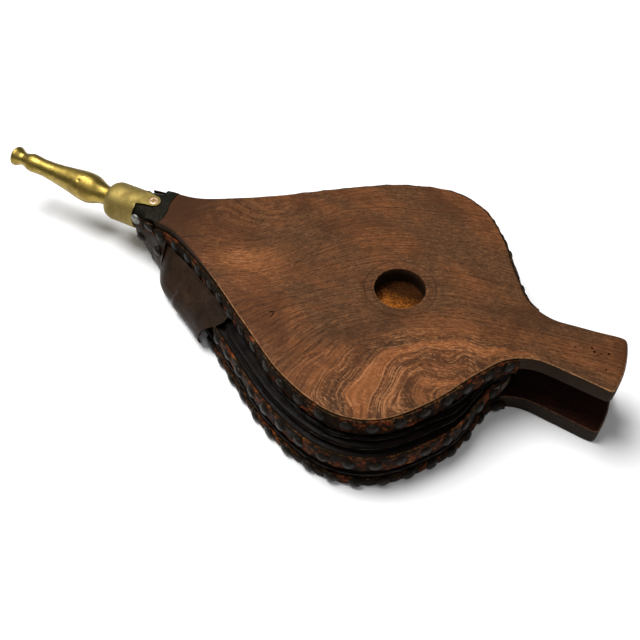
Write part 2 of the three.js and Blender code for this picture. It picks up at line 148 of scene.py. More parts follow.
def lengthOf(tree, vector):
    return addNode(tree, "VectorMath", {0: vector}, operation="LENGTH").outputs["Value"]


def blur(tree, vector, scale, detail=2.0, roughness=0.5, distortion=0.0):
    # cloudy noise; a scale of three numbers stretches it
    if isinstance(scale, tuple):
        vector = addNode(tree, "Mapping", {"Vector": vector, "Scale": scale}).outputs[0]
        scale = 1.0
    inputs = {"Vector": vector, "Scale": scale, "Detail": detail, "Roughness": roughness,
              "Distortion": distortion}
    return addNode(tree, "TexNoise", inputs).outputs[0]


def layersAcross(tree, value, scale, detail, roughness):
    # noise along one number only, such as the distance from the eye of the wood
    inputs = {"W": calc(tree, "MULTIPLY", value, scale), "Scale": 1.0, "Detail": detail,
              "Roughness": roughness}
    return addNode(tree, "TexNoise", inputs, noise_dimensions="1D").outputs[0]


def spread(tree, value, low, high, toLow=0.0, toHigh=1.0):
    inputs = {"Value": value, "From Min": low, "From Max": high, "To Min": toLow, "To Max": toHigh}
    return addNode(tree, "MapRange", inputs, interpolation_type="SMOOTHSTEP").outputs[0]


def tone(value):
    return (*value, 1.0) if isinstance(value, tuple) and len(value) == 3 else value


def mixTones(tree, base, layers):
    # lays each (share, tone) over what is there already
    for share, over in layers:
        node = addNode(tree, "Mix", data_type="RGBA")
        for index, value in ((0, share), (6, base), (7, over)):
            fill(tree, node.inputs[index], tone(value))
        base = node.outputs[2]
    return base


def ramp(tree, value, stops):
    node = addNode(tree, "ValToRGB", {0: value})
    elements = node.color_ramp.elements
    while len(elements) < len(stops):
        elements.new(0.5)
    for element, (position, colour) in zip(elements, stops):
        element.position = position
        element.color = tone(colour)
    return node.outputs[0]


def piecePlace(tree):
    return addNode(tree, "TexCoord").outputs["Object"]


def attribute(tree, name):
    return addNode(tree, "Attribute", attribute_name=name).outputs["Fac"]


def newGroup(name, inputs, outputs):
    group = bpy.data.node_groups.new(name, "ShaderNodeTree")
    group.interface.new_socket("Vector", in_out="INPUT", socket_type="NodeSocketVector")
    for label, value in inputs.items():
        kind = "NodeSocketColor" if value is None else "NodeSocketFloat"
        socket = group.interface.new_socket(label, in_out="INPUT", socket_type=kind)
        if value is not None:
            socket.default_value = value
    for label in outputs:
        kind = "NodeSocketColor" if label == "Colour" else "NodeSocketFloat"
        group.interface.new_socket(label, in_out="OUTPUT", socket_type=kind)
    start = group.nodes.new("NodeGroupInput")
    end = group.nodes.new("NodeGroupOutput")
    return group, start.outputs, end.inputs


def surfaceGroup(name, numbers, tones):
    # a finish: numbers and tones in, colour, roughness and height out
    inputs = {**dict.fromkeys(numbers, 0.0), **dict.fromkeys(tones)}
    return newGroup(name, inputs, ("Colour", "Roughness", "Height"))


def putOut(group, out, **results):
    for label, value in results.items():
        fill(group, out[label], value)


def useGroup(tree, group, vector, **inputs):
    node = tree.nodes.new("ShaderNodeGroup")
    node.node_tree = group
    fill(tree, node.inputs["Vector"], vector)
    for key, value in inputs.items():
        fill(tree, node.inputs[key], tone(value))
    return node.outputs


def newMaterial(name, **settings):
    material = bpy.data.materials.new(name)
    material.use_nodes = True
    tree = material.node_tree
    shader = tree.nodes["Principled BSDF"]
    for key, value in settings.items():
        shader.inputs[key].default_value = value
    return material, tree, shader


def finishShader(tree, shader, colour, roughness, height, strength, distance):
    tree.links.new(colour, shader.inputs["Base Color"])
    if roughness is not None:
        tree.links.new(roughness, shader.inputs["Roughness"])
    node = addNode(tree, "Bump", {"Height": height, "Strength": strength, "Distance": distance})
    tree.links.new(node.outputs[0], shader.inputs["Normal"])


grainSet = {
    "ahead": 0.53, "behind": 0.33, "tailFrom": 0.02, "tail": 0.7, "eyeEdge": (0.034, 0.054),
    "dipAt": 0.155, "dipSharp": 27.0, "lobe": 0.030, "ripple": 0.0010, "bands": 150.0, "lines": 620.0,
    "poreFlow": (330.0, 900.0), "hairFlow": (210.0, 1250.0), "endGrain": 500.0,
}


def grainGroup():
    # growth rings round a long eye off the middle line; they sag where the board narrows to the nose
    s = grainSet
    group, given, out = newGroup(
        "wood grain", {"EyeX": 0.122, "EyeY": -0.056, "Turn": 0.38, "Sag": 0.02, "Wander": 0.01},
        ("Bands", "Lines", "Pores", "Fibres", "NearEye", "Height"))
    times, plus, minus = sums(group)
    place = given["Vector"]

    def sway(scale, detail, roughness):
        return minus(blur(group, place, scale, detail, roughness), 0.5)

    def alongGrain(flow, ring):
        vector = joined(group, times(plain[0], flow[0]), times(ring, flow[1]),
                        times(plain[2], s["endGrain"]))
        return blur(group, vector, 1.0, 2.0, 0.6)

    fromEye = vectorCalc(group, "SUBTRACT", place, joined(group, given["EyeX"], given["EyeY"]))
    plain = apart(group, fromEye)
    angle = times(times(given["Turn"], spread(group, plain[1], 0.01, 0.17, 1.0, 0.25)), -1.0)
    turning = addNode(group, "VectorRotate", {"Vector": fromEye, "Angle": angle}, rotation_type="Z_AXIS")
    parts = apart(group, turning.outputs[0])
    ahead = times(calc(group, "MINIMUM", parts[0], 0.0), s["ahead"])
    behind = times(calc(group, "MAXIMUM", parts[0], 0.0), s["behind"])
    along = calc(group, "POWER", calc(group, "ABSOLUTE", plus(ahead, behind)), 2.0)
    across = calc(group, "POWER", calc(group, "ABSOLUTE", parts[1]), 2.0)
    radius = calc(group, "SQRT", plus(across, along))
    tail = times(calc(group, "MAXIMUM", minus(plain[0], s["tailFrom"]), 0.0), s["tail"])
    nearEye = spread(group, plus(radius, tail), *s["eyeEdge"], 1.0, 0.0)
    fromDip = times(plus(plain[0], s["dipAt"]), s["dipSharp"])
    hollow = calc(group, "EXPONENT", times(times(fromDip, fromDip), -1.0))
    dip = times(given["Sag"], times(hollow, spread(group, plain[1], 0.006, 0.050)))
    wander = times(sway((12, 18, 20), 1.0, 0.4), given["Wander"])
    lobe = times(sway((30, 24, 20), 1.0, 0.4), times(nearEye, s["lobe"]))
    ripple = times(sway((90, 160, 160), 2.0, 0.5), s["ripple"])
    ring = plus(plus(radius, dip), plus(wander, plus(lobe, ripple)))
    fibres = alongGrain(s["hairFlow"], ring)
    pores = spread(group, alongGrain(s["poreFlow"], ring), 0.53, 0.66)
    speckled = plus(layersAcross(group, ring, s["bands"], 1.0, 0.5), times(minus(fibres, 0.5), 0.26))
    lines = layersAcross(group, ring, s["lines"], 2.0, 0.6)
    putOut(group, out, Bands=spread(group, speckled, 0.40, 0.60), Lines=spread(group, lines, 0.38, 0.56),
           Pores=pores, Fibres=spread(group, fibres, 0.50, 0.70), NearEye=nearEye,
           Height=minus(times(fibres, 0.5), times(pores, 0.6)))
    return group


def wearGroup():
    # rubbed edges, and painted highlights on the black leather's fold crests and the nail tops: the mesh
    # says where they are, and noise breaks them up
    group, given, out = newGroup("rubbed edge", {"Breakup": 260.0, "Amount": 1.0}, ("Mask",))
    times, _, minus = sums(group)
    patchy = blur(group, given["Vector"], given["Breakup"], 4.0, 0.65)
    level = times(times(attribute(group, "wear_and_highlight"), given["Amount"]), 1.35)
    putOut(group, out, Mask=spread(group, minus(level, patchy), -0.05, 0.35))
    return group


def skinGroup():
    # leather skin: fine cells, creases that cross the strip, and a slow unevenness
    group, given, out = newGroup("leather skin", {"Cells": 1400.0, "Creases": 120.0},
                                 ("Creases", "Blotch", "Height"))
    times, plus, minus = sums(group)
    cells = addNode(group, "TexVoronoi", {"Vector": given["Vector"], "Scale": given["Cells"]},
                    feature="DISTANCE_TO_EDGE").outputs["Distance"]
    cracks = blur(group, given["Vector"], given["Creases"], 5.0, 0.7, 1.2)
    creases = spread(group, calc(group, "ABSOLUTE", minus(cracks, 0.5)), 0.0, 0.035)
    blotch = blur(group, given["Vector"], 70.0, 4.0, 0.6)
    fine = plus(times(spread(group, cells, 0.0, 0.25), 0.25), times(creases, 0.5))
    putOut(group, out, Creases=creases, Blotch=blotch, Height=plus(fine, times(blotch, 1.2)))
    return group


def patinaGroup():
    # uneven tarnish, fine scratches and specks on metal
    group, given, out = newGroup("patina", {"Clouds": 90.0, "Turn": 0.0}, ("Tarnish", "Specks", "Scratches"))
    clouds = blur(group, given["Vector"], given["Clouds"], 5.0, 0.65, 0.4)
    specks = blur(group, given["Vector"], 1500.0, 3.0, 0.6)
    scratches = blur(group, given["Vector"], (300, 2600, 2600), 3.0, 0.7, given["Turn"])
    putOut(group, out, Tarnish=spread(group, clouds, 0.36, 0.66), Specks=spread(group, specks, 0.58, 0.72),
           Scratches=scratches)
    return group


grain = grainGroup()
wear_and_highlight = wearGroup()
skin = skinGroup()
patina = patinaGroup()


def rubbedMask(tree, place, breakup, amount, share=0.8):
    return calc(tree, "MULTIPLY", useGroup(tree, wear_and_highlight, place, Breakup=breakup, Amount=amount)["Mask"], share)


def roughFrom(tree, value, given, less, more):
    _, plus, minus = sums(tree)
    return spread(tree, value, 0.3, 0.7, minus(given["Rough"], less), plus(given["Rough"], more))


woodMarks = {"glowSize": (1 / 0.040, 1 / 0.020, 0.0), "sootFrom": -0.088, "sootTo": -0.030,
             "grooves": ((0.0184, 0.6), (0.0228, 1.0)), "grooveHalf": (0.0002, 0.0008)}


def woodGroup():
    # rings, pores and fibres in the board's own tones, dirt in patches, soot at the nose, rubbed edges
    s = woodMarks
    ringNames = ("EyeX", "EyeY", "Turn", "Sag", "Wander")
    group, given, out = surfaceGroup(
        "wood surface", ringNames + ("GlowX", "GlowY", "Figure", "Soot", "Wear", "Rough", "HoleX", "Groove"),
        ("Grey", "Brown", "Orange", "Dark", "Pore", "Fibre", "Rim", "Rubbed"))
    times, plus, minus = sums(group)
    place = given["Vector"]
    parts = apart(group, place)
    rings = useGroup(group, grain, place, **{label: given[label] for label in ringNames})
    region = blur(group, place, (15, 34, 34), 5.0, 0.65)
    cloud = blur(group, place, 60.0, 4.0, 0.65)
    grime = blur(group, place, (22, 30, 30), 5.0, 0.7, 0.6)
    grit = blur(group, place, (480, 900, 900), 3.0, 0.7)
    fromGlow = vectorCalc(group, "SUBTRACT", place, joined(group, given["GlowX"], given["GlowY"]))
    glowAway = lengthOf(group, vectorCalc(group, "MULTIPLY", fromGlow, s["glowSize"]))
    glow = spread(group, plus(glowAway, times(cloud, 1.2)), 0.7, 1.7, 0.75, 0.0)
    figure = times(rings["NearEye"], given["Figure"])
    gaps = times(minus(1.0, rings["Lines"]), minus(0.50, times(figure, 0.22)))
    dots = times(rings["Pores"], minus(0.68, times(rings["Lines"], 0.38)))
    lit = times(plus(plus(times(figure, 0.34), times(glow, 0.3)), 0.14), rings["Fibres"])
    pale = times(spread(group, grit, 0.52, 0.66), plus(0.10, times(figure, 0.20)))
    sooty = plus(parts[0], times(minus(cloud, 0.5), 0.03))
    sooty = times(spread(group, sooty, s["sootFrom"], s["sootTo"], 1.0, 0.0), given["Soot"])
    layers = [
        (spread(group, region, 0.40, 0.60), given["Brown"]), (glow, given["Orange"]),
        (times(figure, rings["Bands"]), given["Orange"]),
        (times(times(figure, minus(1.0, rings["Bands"])), 0.54), given["Dark"]),
        (gaps, given["Dark"]), (dots, given["Pore"]), (lit, given["Fibre"]), (pale, given["Fibre"]),
        (spread(group, grit, 0.36, 0.46, 0.30, 0.0), given["Dark"]),
        (spread(group, grime, 0.44, 0.64, 0.0, 0.55), given["Dark"]), (sooty, given["Dark"]),
    ]
    fromHole = vectorCalc(group, "SUBTRACT", place, joined(group, given["HoleX"]))
    around = lengthOf(group, vectorCalc(group, "MULTIPLY", fromHole, (1, 1, 0)))
    for radius, depth in s["grooves"]:
        off = calc(group, "ABSOLUTE", minus(around, radius))
        groove = times(spread(group, off, *s["grooveHalf"], depth, 0.0), given["Groove"])
        layers.append((times(groove, spread(group, cloud, 0.30, 0.60)), given["Dark"]))
    # the rim mask lays the Rim tone on sides and recesses; on the top board that tone is painted shade
    layers.append((times(attribute(group, "rim"), 0.93), given["Rim"]))
    amount = times(times(given["Wear"], spread(group, parts[1], -0.03, 0.05, 1.0, 0.45)),
                   spread(group, parts[0], -0.09, 0.0, 0.3, 1.0))
    layers.append((rubbedMask(group, place, 420.0, amount), given["Rubbed"]))
    putOut(group, out, Colour=mixTones(group, given["Grey"], layers),
           Roughness=roughFrom(group, cloud, given, 0.06, 0.1), Height=rings["Height"])
    return group


def leatherGroup():
    # blotchy skin with dark creases and rubbed edges; on the black leather's fold crests the rubbed tone is
    # worn leather and a painted highlight
    group, given, out = surfaceGroup("leather surface", ("Cells", "Creases", "Wear", "Rough"),
                                     ("Dark", "Mid", "Light", "Crease", "Rubbed"))
    times, _, minus = sums(group)
    marks = useGroup(group, skin, given["Vector"], Cells=given["Cells"], Creases=given["Creases"])
    colour = mixTones(group, given["Dark"], [
        (spread(group, marks["Blotch"], 0.30, 0.55), given["Mid"]),
        (spread(group, marks["Blotch"], 0.55, 0.74), given["Light"]),
        (times(minus(1.0, marks["Creases"]), 0.6), given["Crease"]),
        (rubbedMask(group, given["Vector"], 210.0, given["Wear"]), given["Rubbed"])])
    putOut(group, out, Colour=colour, Roughness=roughFrom(group, marks["Blotch"], given, 0.06, 0.12),
           Height=marks["Height"])
    return group


def metalGroup():
    # tarnish in clouds, fine scratches, specks and rubbed edges; on the nail heads the rubbed dome tops are
    # rubbed metal and a painted highlight
    group, given, out = surfaceGroup(
        "metal surface", ("Clouds", "Turn", "ScratchShare", "SpeckShare", "Wear", "Rough"),
        ("Clean", "Tarnish", "Scratch", "Speck", "Rubbed"))
    times, plus, minus = sums(group)
    marks = useGroup(group, patina, given["Vector"], Clouds=given["Clouds"], Turn=given["Turn"])
    colour = mixTones(group, given["Clean"], [
        (marks["Tarnish"], given["Tarnish"]),
        (times(spread(group, marks["Scratches"], 0.36, 0.64), given["ScratchShare"]), given["Scratch"]),
        (times(marks["Specks"], given["SpeckShare"]), given["Speck"]),
        (rubbedMask(group, given["Vector"], 400.0, given["Wear"]), given["Rubbed"])])
    dull = spread(group, marks["Tarnish"], 0.0, 1.0, given["Rough"], plus(given["Rough"], 0.16))
    putOut(group, out, Colour=colour, Roughness=plus(dull, times(minus(marks["Scratches"], 0.5), 0.35)),
           Height=plus(marks["Scratches"], times(marks["Tarnish"], 0.6)))
    return group


woodSurface = woodGroup()
leatherSurface = leatherGroup()
metalSurface = metalGroup()
print("shader groups built")

finishSet = {  # what the pieces of one kind share on the shader itself
    "wood surface": {"bump": 0.4, "depth": 0.0004},
    "leather surface": {"bump": 0.2, "depth": 0.0005},
    "metal surface": {"shine": 0.5, "metallic": 1.0, "bump": 0.4, "depth": 0.0002},
}


def makeMaterial(name, group, own, surface):
    # one of the surface groups with its own values; the shader keeps the even ones
    s = {"metallic": 0.0, **finishSet[group.name], **own}
    even = {"IOR": 1.45, "Specular IOR Level": s["shine"], "Metallic": s["metallic"]}
    material, tree, shader = newMaterial(name, **even)
    marks = useGroup(tree, group, piecePlace(tree), **surface)
    finishShader(tree, shader, marks["Colour"], marks["Roughness"], marks["Height"], s["bump"], s["depth"])
    return material


topWood = makeMaterial("waxed board", woodSurface, {"shine": 0.04}, {
    "EyeX": 0.139, "EyeY": -0.061, "Turn": 0.36, "Sag": 0.020, "Wander": 0.014, "GlowX": -0.016,
    "GlowY": -0.020,
    "Figure": 0.84, "Soot": 0.9, "Wear": 0.62, "Rough": 0.5, "HoleX": 0.08242, "Groove": 0.75,
    "Grey": (0.078, 0.036, 0.016), "Brown": (0.138, 0.050, 0.018), "Orange": (0.245, 0.085, 0.028),
    "Dark": (0.042, 0.017, 0.008), "Pore": (0.016, 0.007, 0.004), "Fibre": (0.52, 0.23, 0.095),
    # Rim: painted shade, near black, on the board's sides, the valve hole's wall and the pit floors
    "Rim": (0.017, 0.010, 0.0055), "Rubbed": (0.34, 0.17, 0.075)})
sideWood = makeMaterial("dark board", woodSurface, {"shine": 0.06}, {
    "EyeX": 0.10, "EyeY": 0.09, "Turn": 0.1, "Wander": 0.010, "GlowX": 0.2, "Figure": 0.3, "Wear": 0.6,
    "Rough": 0.44,
    "Grey": (0.006, 0.003, 0.002), "Brown": (0.020, 0.006, 0.003), "Orange": (0.030, 0.008, 0.004),
    "Dark": (0.003, 0.0015, 0.001), "Pore": (0.002, 0.001, 0.001), "Fibre": (0.05, 0.018, 0.010),
    "Rim": (0.016, 0.010, 0.0055), "Rubbed": (0.13, 0.060, 0.030)})
paleWood = makeMaterial("hoop and disc wood", woodSurface, {"shine": 0.3}, {
    "EyeY": 0.2, "Wander": 0.01, "Figure": 0.3, "Wear": 0.5, "Rough": 0.6,
    "Grey": (0.045, 0.026, 0.014), "Brown": (0.06, 0.034, 0.017), "Orange": (0.09, 0.05, 0.025),
    "Dark": (0.03, 0.017, 0.009), "Pore": (0.015, 0.009, 0.005), "Fibre": (0.12, 0.075, 0.04),
    "Rim": (0.045, 0.026, 0.014), "Rubbed": (0.13, 0.085, 0.045)})
blackLeather = makeMaterial("black bellows leather", leatherSurface, {"shine": 0.03, "bump": 0.16}, {
    "Cells": 1300.0, "Creases": 90.0, "Wear": 0.9, "Rough": 0.27,
    "Dark": (0.002, 0.0013, 0.0009), "Mid": (0.0045, 0.0026, 0.0018), "Light": (0.012, 0.006, 0.0035),
    # Rubbed: worn leather and a painted highlight along the upper folds' crests
    "Crease": (0.0015, 0.001, 0.001), "Rubbed": (0.050, 0.037, 0.026)})
noseLeather = makeMaterial("greenish nose leather", leatherSurface, {"shine": 0.06, "bump": 0.4}, {
    "Cells": 900.0, "Creases": 70.0, "Wear": 0.5, "Rough": 0.42,
    "Dark": (0.004, 0.004, 0.0025), "Mid": (0.011, 0.0095, 0.005), "Light": (0.018, 0.014, 0.008),
    "Crease": (0.002, 0.002, 0.0015), "Rubbed": (0.05, 0.04, 0.025)})
patchLeather = makeMaterial("brown patch leather", leatherSurface, {"shine": 0.08}, {
    "Cells": 1100.0, "Creases": 45.0, "Wear": 0.55, "Rough": 0.38,
    "Dark": (0.011, 0.0056, 0.0028), "Mid": (0.021, 0.0106, 0.0054), "Light": (0.034, 0.0175, 0.009),
    "Crease": (0.007, 0.004, 0.002), "Rubbed": (0.10, 0.066, 0.042)})
nozzleBrass = makeMaterial("old brass", metalSurface, {}, {
    "Clouds": 110.0, "ScratchShare": 0.35, "SpeckShare": 0.6, "Wear": 0.4, "Rough": 0.34,
    "Clean": (0.33, 0.235, 0.050), "Tarnish": (0.19, 0.125, 0.024), "Scratch": (0.45, 0.34, 0.095),
    "Speck": (0.07, 0.042, 0.010), "Rubbed": (0.62, 0.49, 0.17)})
ferruleBrass = makeMaterial("scrubbed brass", metalSurface, {"bump": 0.5}, {
    "Clouds": 60.0, "Turn": 0.6, "ScratchShare": 0.5, "SpeckShare": 0.3, "Wear": 0.5, "Rough": 0.58,
    "Clean": (0.27, 0.200, 0.057), "Tarnish": (0.195, 0.141, 0.038), "Scratch": (0.35, 0.27, 0.092),
    "Speck": (0.17, 0.12, 0.034), "Rubbed": (0.55, 0.43, 0.18)})
copper = makeMaterial("copper screw", metalSurface, {}, {
    "Clouds": 260.0, "Turn": 0.3, "ScratchShare": 0.4, "SpeckShare": 0.4, "Wear": 0.7, "Rough": 0.34,
    "Clean": (0.52, 0.30, 0.20), "Tarnish": (0.30, 0.16, 0.10), "Scratch": (0.65, 0.43, 0.31),
    "Speck": (0.08, 0.04, 0.03), "Rubbed": (0.75, 0.53, 0.40)})
darkMetal = makeMaterial("dark nail iron", metalSurface, {"shine": 0.06, "metallic": 0.25, "bump": 0.6}, {
    "Clouds": 190.0, "Turn": 0.4, "ScratchShare": 0.3, "SpeckShare": 0.35, "Wear": 0.4, "Rough": 0.25,
    "Clean": (0.012, 0.010, 0.0075), "Tarnish": (0.005, 0.004, 0.003), "Scratch": (0.028, 0.022, 0.016),
    # Rubbed: rubbed metal and a painted highlight on the dome tops
    "Speck": (0.05, 0.022, 0.008), "Rubbed": (0.07, 0.06, 0.05)})
brightMetal = makeMaterial("bright tack", metalSurface, {}, {
    "Clouds": 300.0, "Turn": 0.4, "ScratchShare": 0.3, "SpeckShare": 0.5, "Wear": 0.5, "Rough": 0.5,
    "Clean": (0.24, 0.24, 0.22), "Tarnish": (0.12, 0.12, 0.11), "Scratch": (0.32, 0.32, 0.30),
    "Speck": (0.06, 0.055, 0.05), "Rubbed": (0.45, 0.45, 0.42)})

trimLeatherSet = {"polish": (0.008, 0.0045, 0.0022), "olive": (0.040, 0.027, 0.010),
                  "red": (0.100, 0.018, 0.006),
                  "rust": (0.19, 0.052, 0.014), "ochre": (0.21, 0.105, 0.034), "edge": (0.13, 0.070, 0.028)}


def makeTrimLeather():
    # once red leather, now worn to ochre and caked with dark polish
    s = trimLeatherSet
    material, tree, shader = newMaterial("mottled trim leather", **{"IOR": 1.45, "Specular IOR Level": 0.02})
    times, plus, _ = sums(tree)
    place = piecePlace(tree)
    marks = useGroup(tree, skin, place, Cells=1200.0, Creases=160.0)
    colour = blur(tree, place, 120.0, 4.0, 0.65, 0.6)
    flecks = blur(tree, place, 330.0, 4.0, 0.7)
    base = ramp(tree, colour, [(0.36, s["olive"]), (0.46, s["red"]), (0.56, s["rust"]), (0.70, s["ochre"])])
    grime = plus(times(flecks, 0.6), times(marks["Blotch"], 0.5))
    base = mixTones(tree, base, [(spread(tree, grime, 0.41, 0.56), s["polish"]),
                                 (rubbedMask(tree, place, 260.0, 0.55, 0.75), s["edge"])])
    finishShader(tree, shader, base, spread(tree, grime, 0.4, 0.62, 0.62, 0.34),
                 plus(marks["Height"], flecks),
                 0.5, 0.0006)
    return material


suedeSet = {"dark": (0.010, 0.003, 0.001), "mid": (0.105, 0.030, 0.004), "light": (0.30, 0.095, 0.014)}


def makeSuede():
    # speckled, and darkened on its far half with a painted shadow
    s = suedeSet
    material, tree, shader = newMaterial("speckled suede", **{"Roughness": 0.95, "Specular IOR Level": 0.05})
    times, plus, _ = sums(tree)
    place = piecePlace(tree)
    clouds = blur(tree, place, 110.0, 3.0, 0.6)
    mixed = plus(times(blur(tree, place, 620.0, 4.0, 0.75), 0.75), times(clouds, 0.4))
    base = ramp(tree, mixed, [(0.46, s["dark"]), (0.56, s["mid"]), (0.70, s["light"])])
    # painted shadow: the suede goes dark towards its far side, under the hole's far wall
    paintedFarShadow = spread(tree, plus(apart(tree, place)[1], times(clouds, 0.012)), 0.002, 0.014, 0.0, 0.9)
    finishShader(tree, shader, mixTones(tree, base, [(paintedFarShadow, s["dark"])]), None, mixed, 0.8, 0.0008)
    return material


trimLeather = makeTrimLeather()
suede = makeSuede()
print("materials built")


def newPiece(name, points, faces, place, material, wearAt=None, rimAt=None, sharp=42):
    mesh = bpy.data.meshes.new(name)
    mesh.from_pydata([place @ Vector(p) for p in points], [], faces)
    for label, values in (("wear_and_highlight", wearAt), ("rim", rimAt)):
        if values is not None:
            made = mesh.attributes.new(label, "FLOAT", "POINT")
            made.data.foreach_set("value", [float(v) for v in values])
    tidy = bmesh.new()
    tidy.from_mesh(mesh)
    bmesh.ops.recalc_face_normals(tidy, faces=tidy.faces)
    tidy.to_mesh(mesh)
    tidy.free()
    mesh.polygons.foreach_set("use_smooth", [True] * len(mesh.polygons))
    mesh.set_sharp_from_angle(angle=math.radians(sharp))
    mesh.materials.append(material)
    piece = bpy.data.objects.new(name, mesh)
    bpy.context.scene.collection.objects.link(piece)
    return piece


def finishPiece(piece, body, slot, *replaced):
    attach(piece, body)
    if replaced:
        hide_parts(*replaced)


def finishBent(piece, bodies, start, end, slot, *replaced):
    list(bodies)
    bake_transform(piece)
    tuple(start)
    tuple(end)
    if replaced:
        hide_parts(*replaced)


def roughly(x, y, z, size, seed=0.0):
    # smooth noise from -1 to 1 that changes over about size millimetres
    return noise.noise(Vector((x / size + seed, y / size - seed, z / size + 0.37 * seed)))


def easeStep(value, low, high):
    t = min(1.0, max(0.0, (value - low) / (high - low)))
    return t * t * (3 - 2 * t)


def lengthsAlong(line):
    lengths = [0.0]
    for a, b in zip(line, line[1:]):
        lengths.append(lengths[-1] + (b - a).length)
    return lengths


def evenly(points, spacing):
    lengths = lengthsAlong(points)
    count = max(2, round(lengths[-1] / spacing))
    made, k = [], 0
    for i in range(count + 1):
        target = lengths[-1] * i / count
        while k < len(points) - 2 and lengths[k + 1] < target:
            k += 1
        share = (target - lengths[k]) / max(1e-9, lengths[k + 1] - lengths[k])
        made.append(points[k].lerp(points[k + 1], share))
    return made


def smoothLine(corners, spacing, fineness=24):
    # a centripetal Catmull-Rom curve through the corners, in even steps
    knots = [Vector(p) for p in corners]
    knots = [2 * knots[0] - knots[1]] + knots + [2 * knots[-1] - knots[-2]]
    dense = []
    for a, b, c, d in zip(knots, knots[1:], knots[2:], knots[3:]):
        ta, tb, tc = ((q - p).length ** 0.5 for p, q in ((a, b), (b, c), (c, d)))
        leave = ((b - a) / ta - (c - a) / (ta + tb) + (c - b) / tb) * tb
        arrive = ((c - b) / tb - (d - b) / (tb + tc) + (d - c) / tc) * tb
        for i in range(fineness):
            t = i / fineness
            dense.append(b * (2 * t**3 - 3 * t**2 + 1) + leave * (t**3 - 2 * t**2 + t)
                         + c * (3 * t**2 - 2 * t**3) + arrive * (t**3 - t**2))
    dense.append(knots[-2])
    return evenly(dense, spacing)


def bend(a, b, c, count):
    a, b, c = Vector(a), Vector(b), Vector(c)
    return [a.lerp(b, i / count).lerp(b.lerp(c, i / count), i / count) for i in range(1, count + 1)]


def outwardAt(line, i):
    along = (line[min(i + 1, len(line) - 1)] - line[max(i - 1, 0)]).normalized()
    return Vector((-along.y, along.x))


def shifted(line, distanceAt):
    return [p + outwardAt(line, i) * distanceAt(p.x) for i, p in enumerate(line)]


def between(line, low, high):
    return [p for p in line if low <= p.x <= high]


def joinRings(a, b, count):
    # the faces between two closed rings of points, from the numbers of their first points
    return [(a + k, a + (k + 1) % count, b + (k + 1) % count, b + k) for k in range(count)]


def tubeFaces(rings, count, closed=False):
    faces = []
    for i in range(rings if closed else rings - 1):
        faces += joinRings(i * count, (i + 1) % rings * count, count)
    return faces


def turned(count):
    return [2 * math.pi * k / count for k in range(count)]


def stripPiece(name, line, sectionAt, place, side, material, wearOf=None, sharp=70):
    # sectionAt(i, p) gives corners as (outward, up) or (outward, up, rubbed); else wearOf(j) says how rubbed
    points, wearAt = [], []
    for i, p in enumerate(line):
        outward = outwardAt(line, i)
        for j, (out, up, *worn) in enumerate(sectionAt(i, p)):
            spot = p + outward * out
            points.append((spot.x, side * spot.y, up))
            wearAt.append(worn[0] if worn else wearOf(j))
    count = len(points) // len(line)
    faces = tubeFaces(len(line), count)
    faces.append(tuple(range(count)))
    faces.append(tuple(range(len(points) - 1, len(points) - 1 - count, -1)))
    return newPiece(name, points, faces, place, material, wearAt, sharp=sharp)


def lathePiece(name, profile, place, material, axis=(0, 0), segments=96, shake=None, wearOf=None):
    # profile: (x, radius) round a line along x at (y, z) = axis; it closes on itself
    points, wearAt = [], []
    for j, (x, r) in enumerate(profile):
        for angle in turned(segments):
            radius = r + (shake(x, r, angle) if shake else 0.0)
            points.append((x, axis[0] + radius * math.cos(angle), axis[1] + radius * math.sin(angle)))
            wearAt.append(wearOf(j) if wearOf else 0.0)
    return newPiece(name, points, tubeFaces(len(profile), segments, True), place, material, wearAt)


def sheetPiece(name, pointAt, columns, rows, place, material, wearOf):
    # a sheet with its own thickness: pointAt(u, v, inner) for both faces, closed all round
    points, wearAt, faces = [], [], []
    for inner in (0, 1):
        for i in range(columns + 1):
            for j in range(rows + 1):
                points.append(pointAt(i / columns, j / rows, inner))
                wearAt.append(0.0 if inner else wearOf(i / columns, j / rows))
    row, under = rows + 1, (columns + 1) * (rows + 1)
    for i in range(columns):
        for j in range(rows):
            a = i * row + j
            b = under + a
            faces += [(a, a + row, a + row + 1, a + 1), (b, b + 1, b + row + 1, b + row)]
        faces += [(a, a + row, under + a + row, under + a) for a in (i * row, i * row + rows)]
    for j in range(rows):
        faces += [(a, a + 1, under + a + 1, under + a) for a in (j, columns * row + j)]
    return newPiece(name, points, faces, place, material, wearAt, sharp=60)


outline = {
    "halfWidths": [(-10, 15.3), (4, 17), (26, 26.6), (54, 42.8), (92, 67.7), (130, 90.5), (166, 100),
                   (190, 93.2),
                   (212, 70.5), (230, 41), (243, 24), (258, 17.2), (280, 18.3), (301, 20.6)],
    "spacing": 2.2, "handleEnd": 306.5, "bottomExtra": 2.4, "bottomFront": -20,
    "overhang": 11.0, "overhangFrom": (-14, 40), "overhangTo": (217, 243),
}
topSide = smoothLine(outline["halfWidths"], outline["spacing"])


def overhangAt(x):
    # how far the bottom board stands outside the top one
    rise = easeStep(x, *outline["overhangFrom"])
    return outline["overhang"] * rise * (1 - easeStep(x, *outline["overhangTo"]))


bottomSide = shifted(topSide, overhangAt)
bottomSide[-1].x += outline["bottomExtra"]


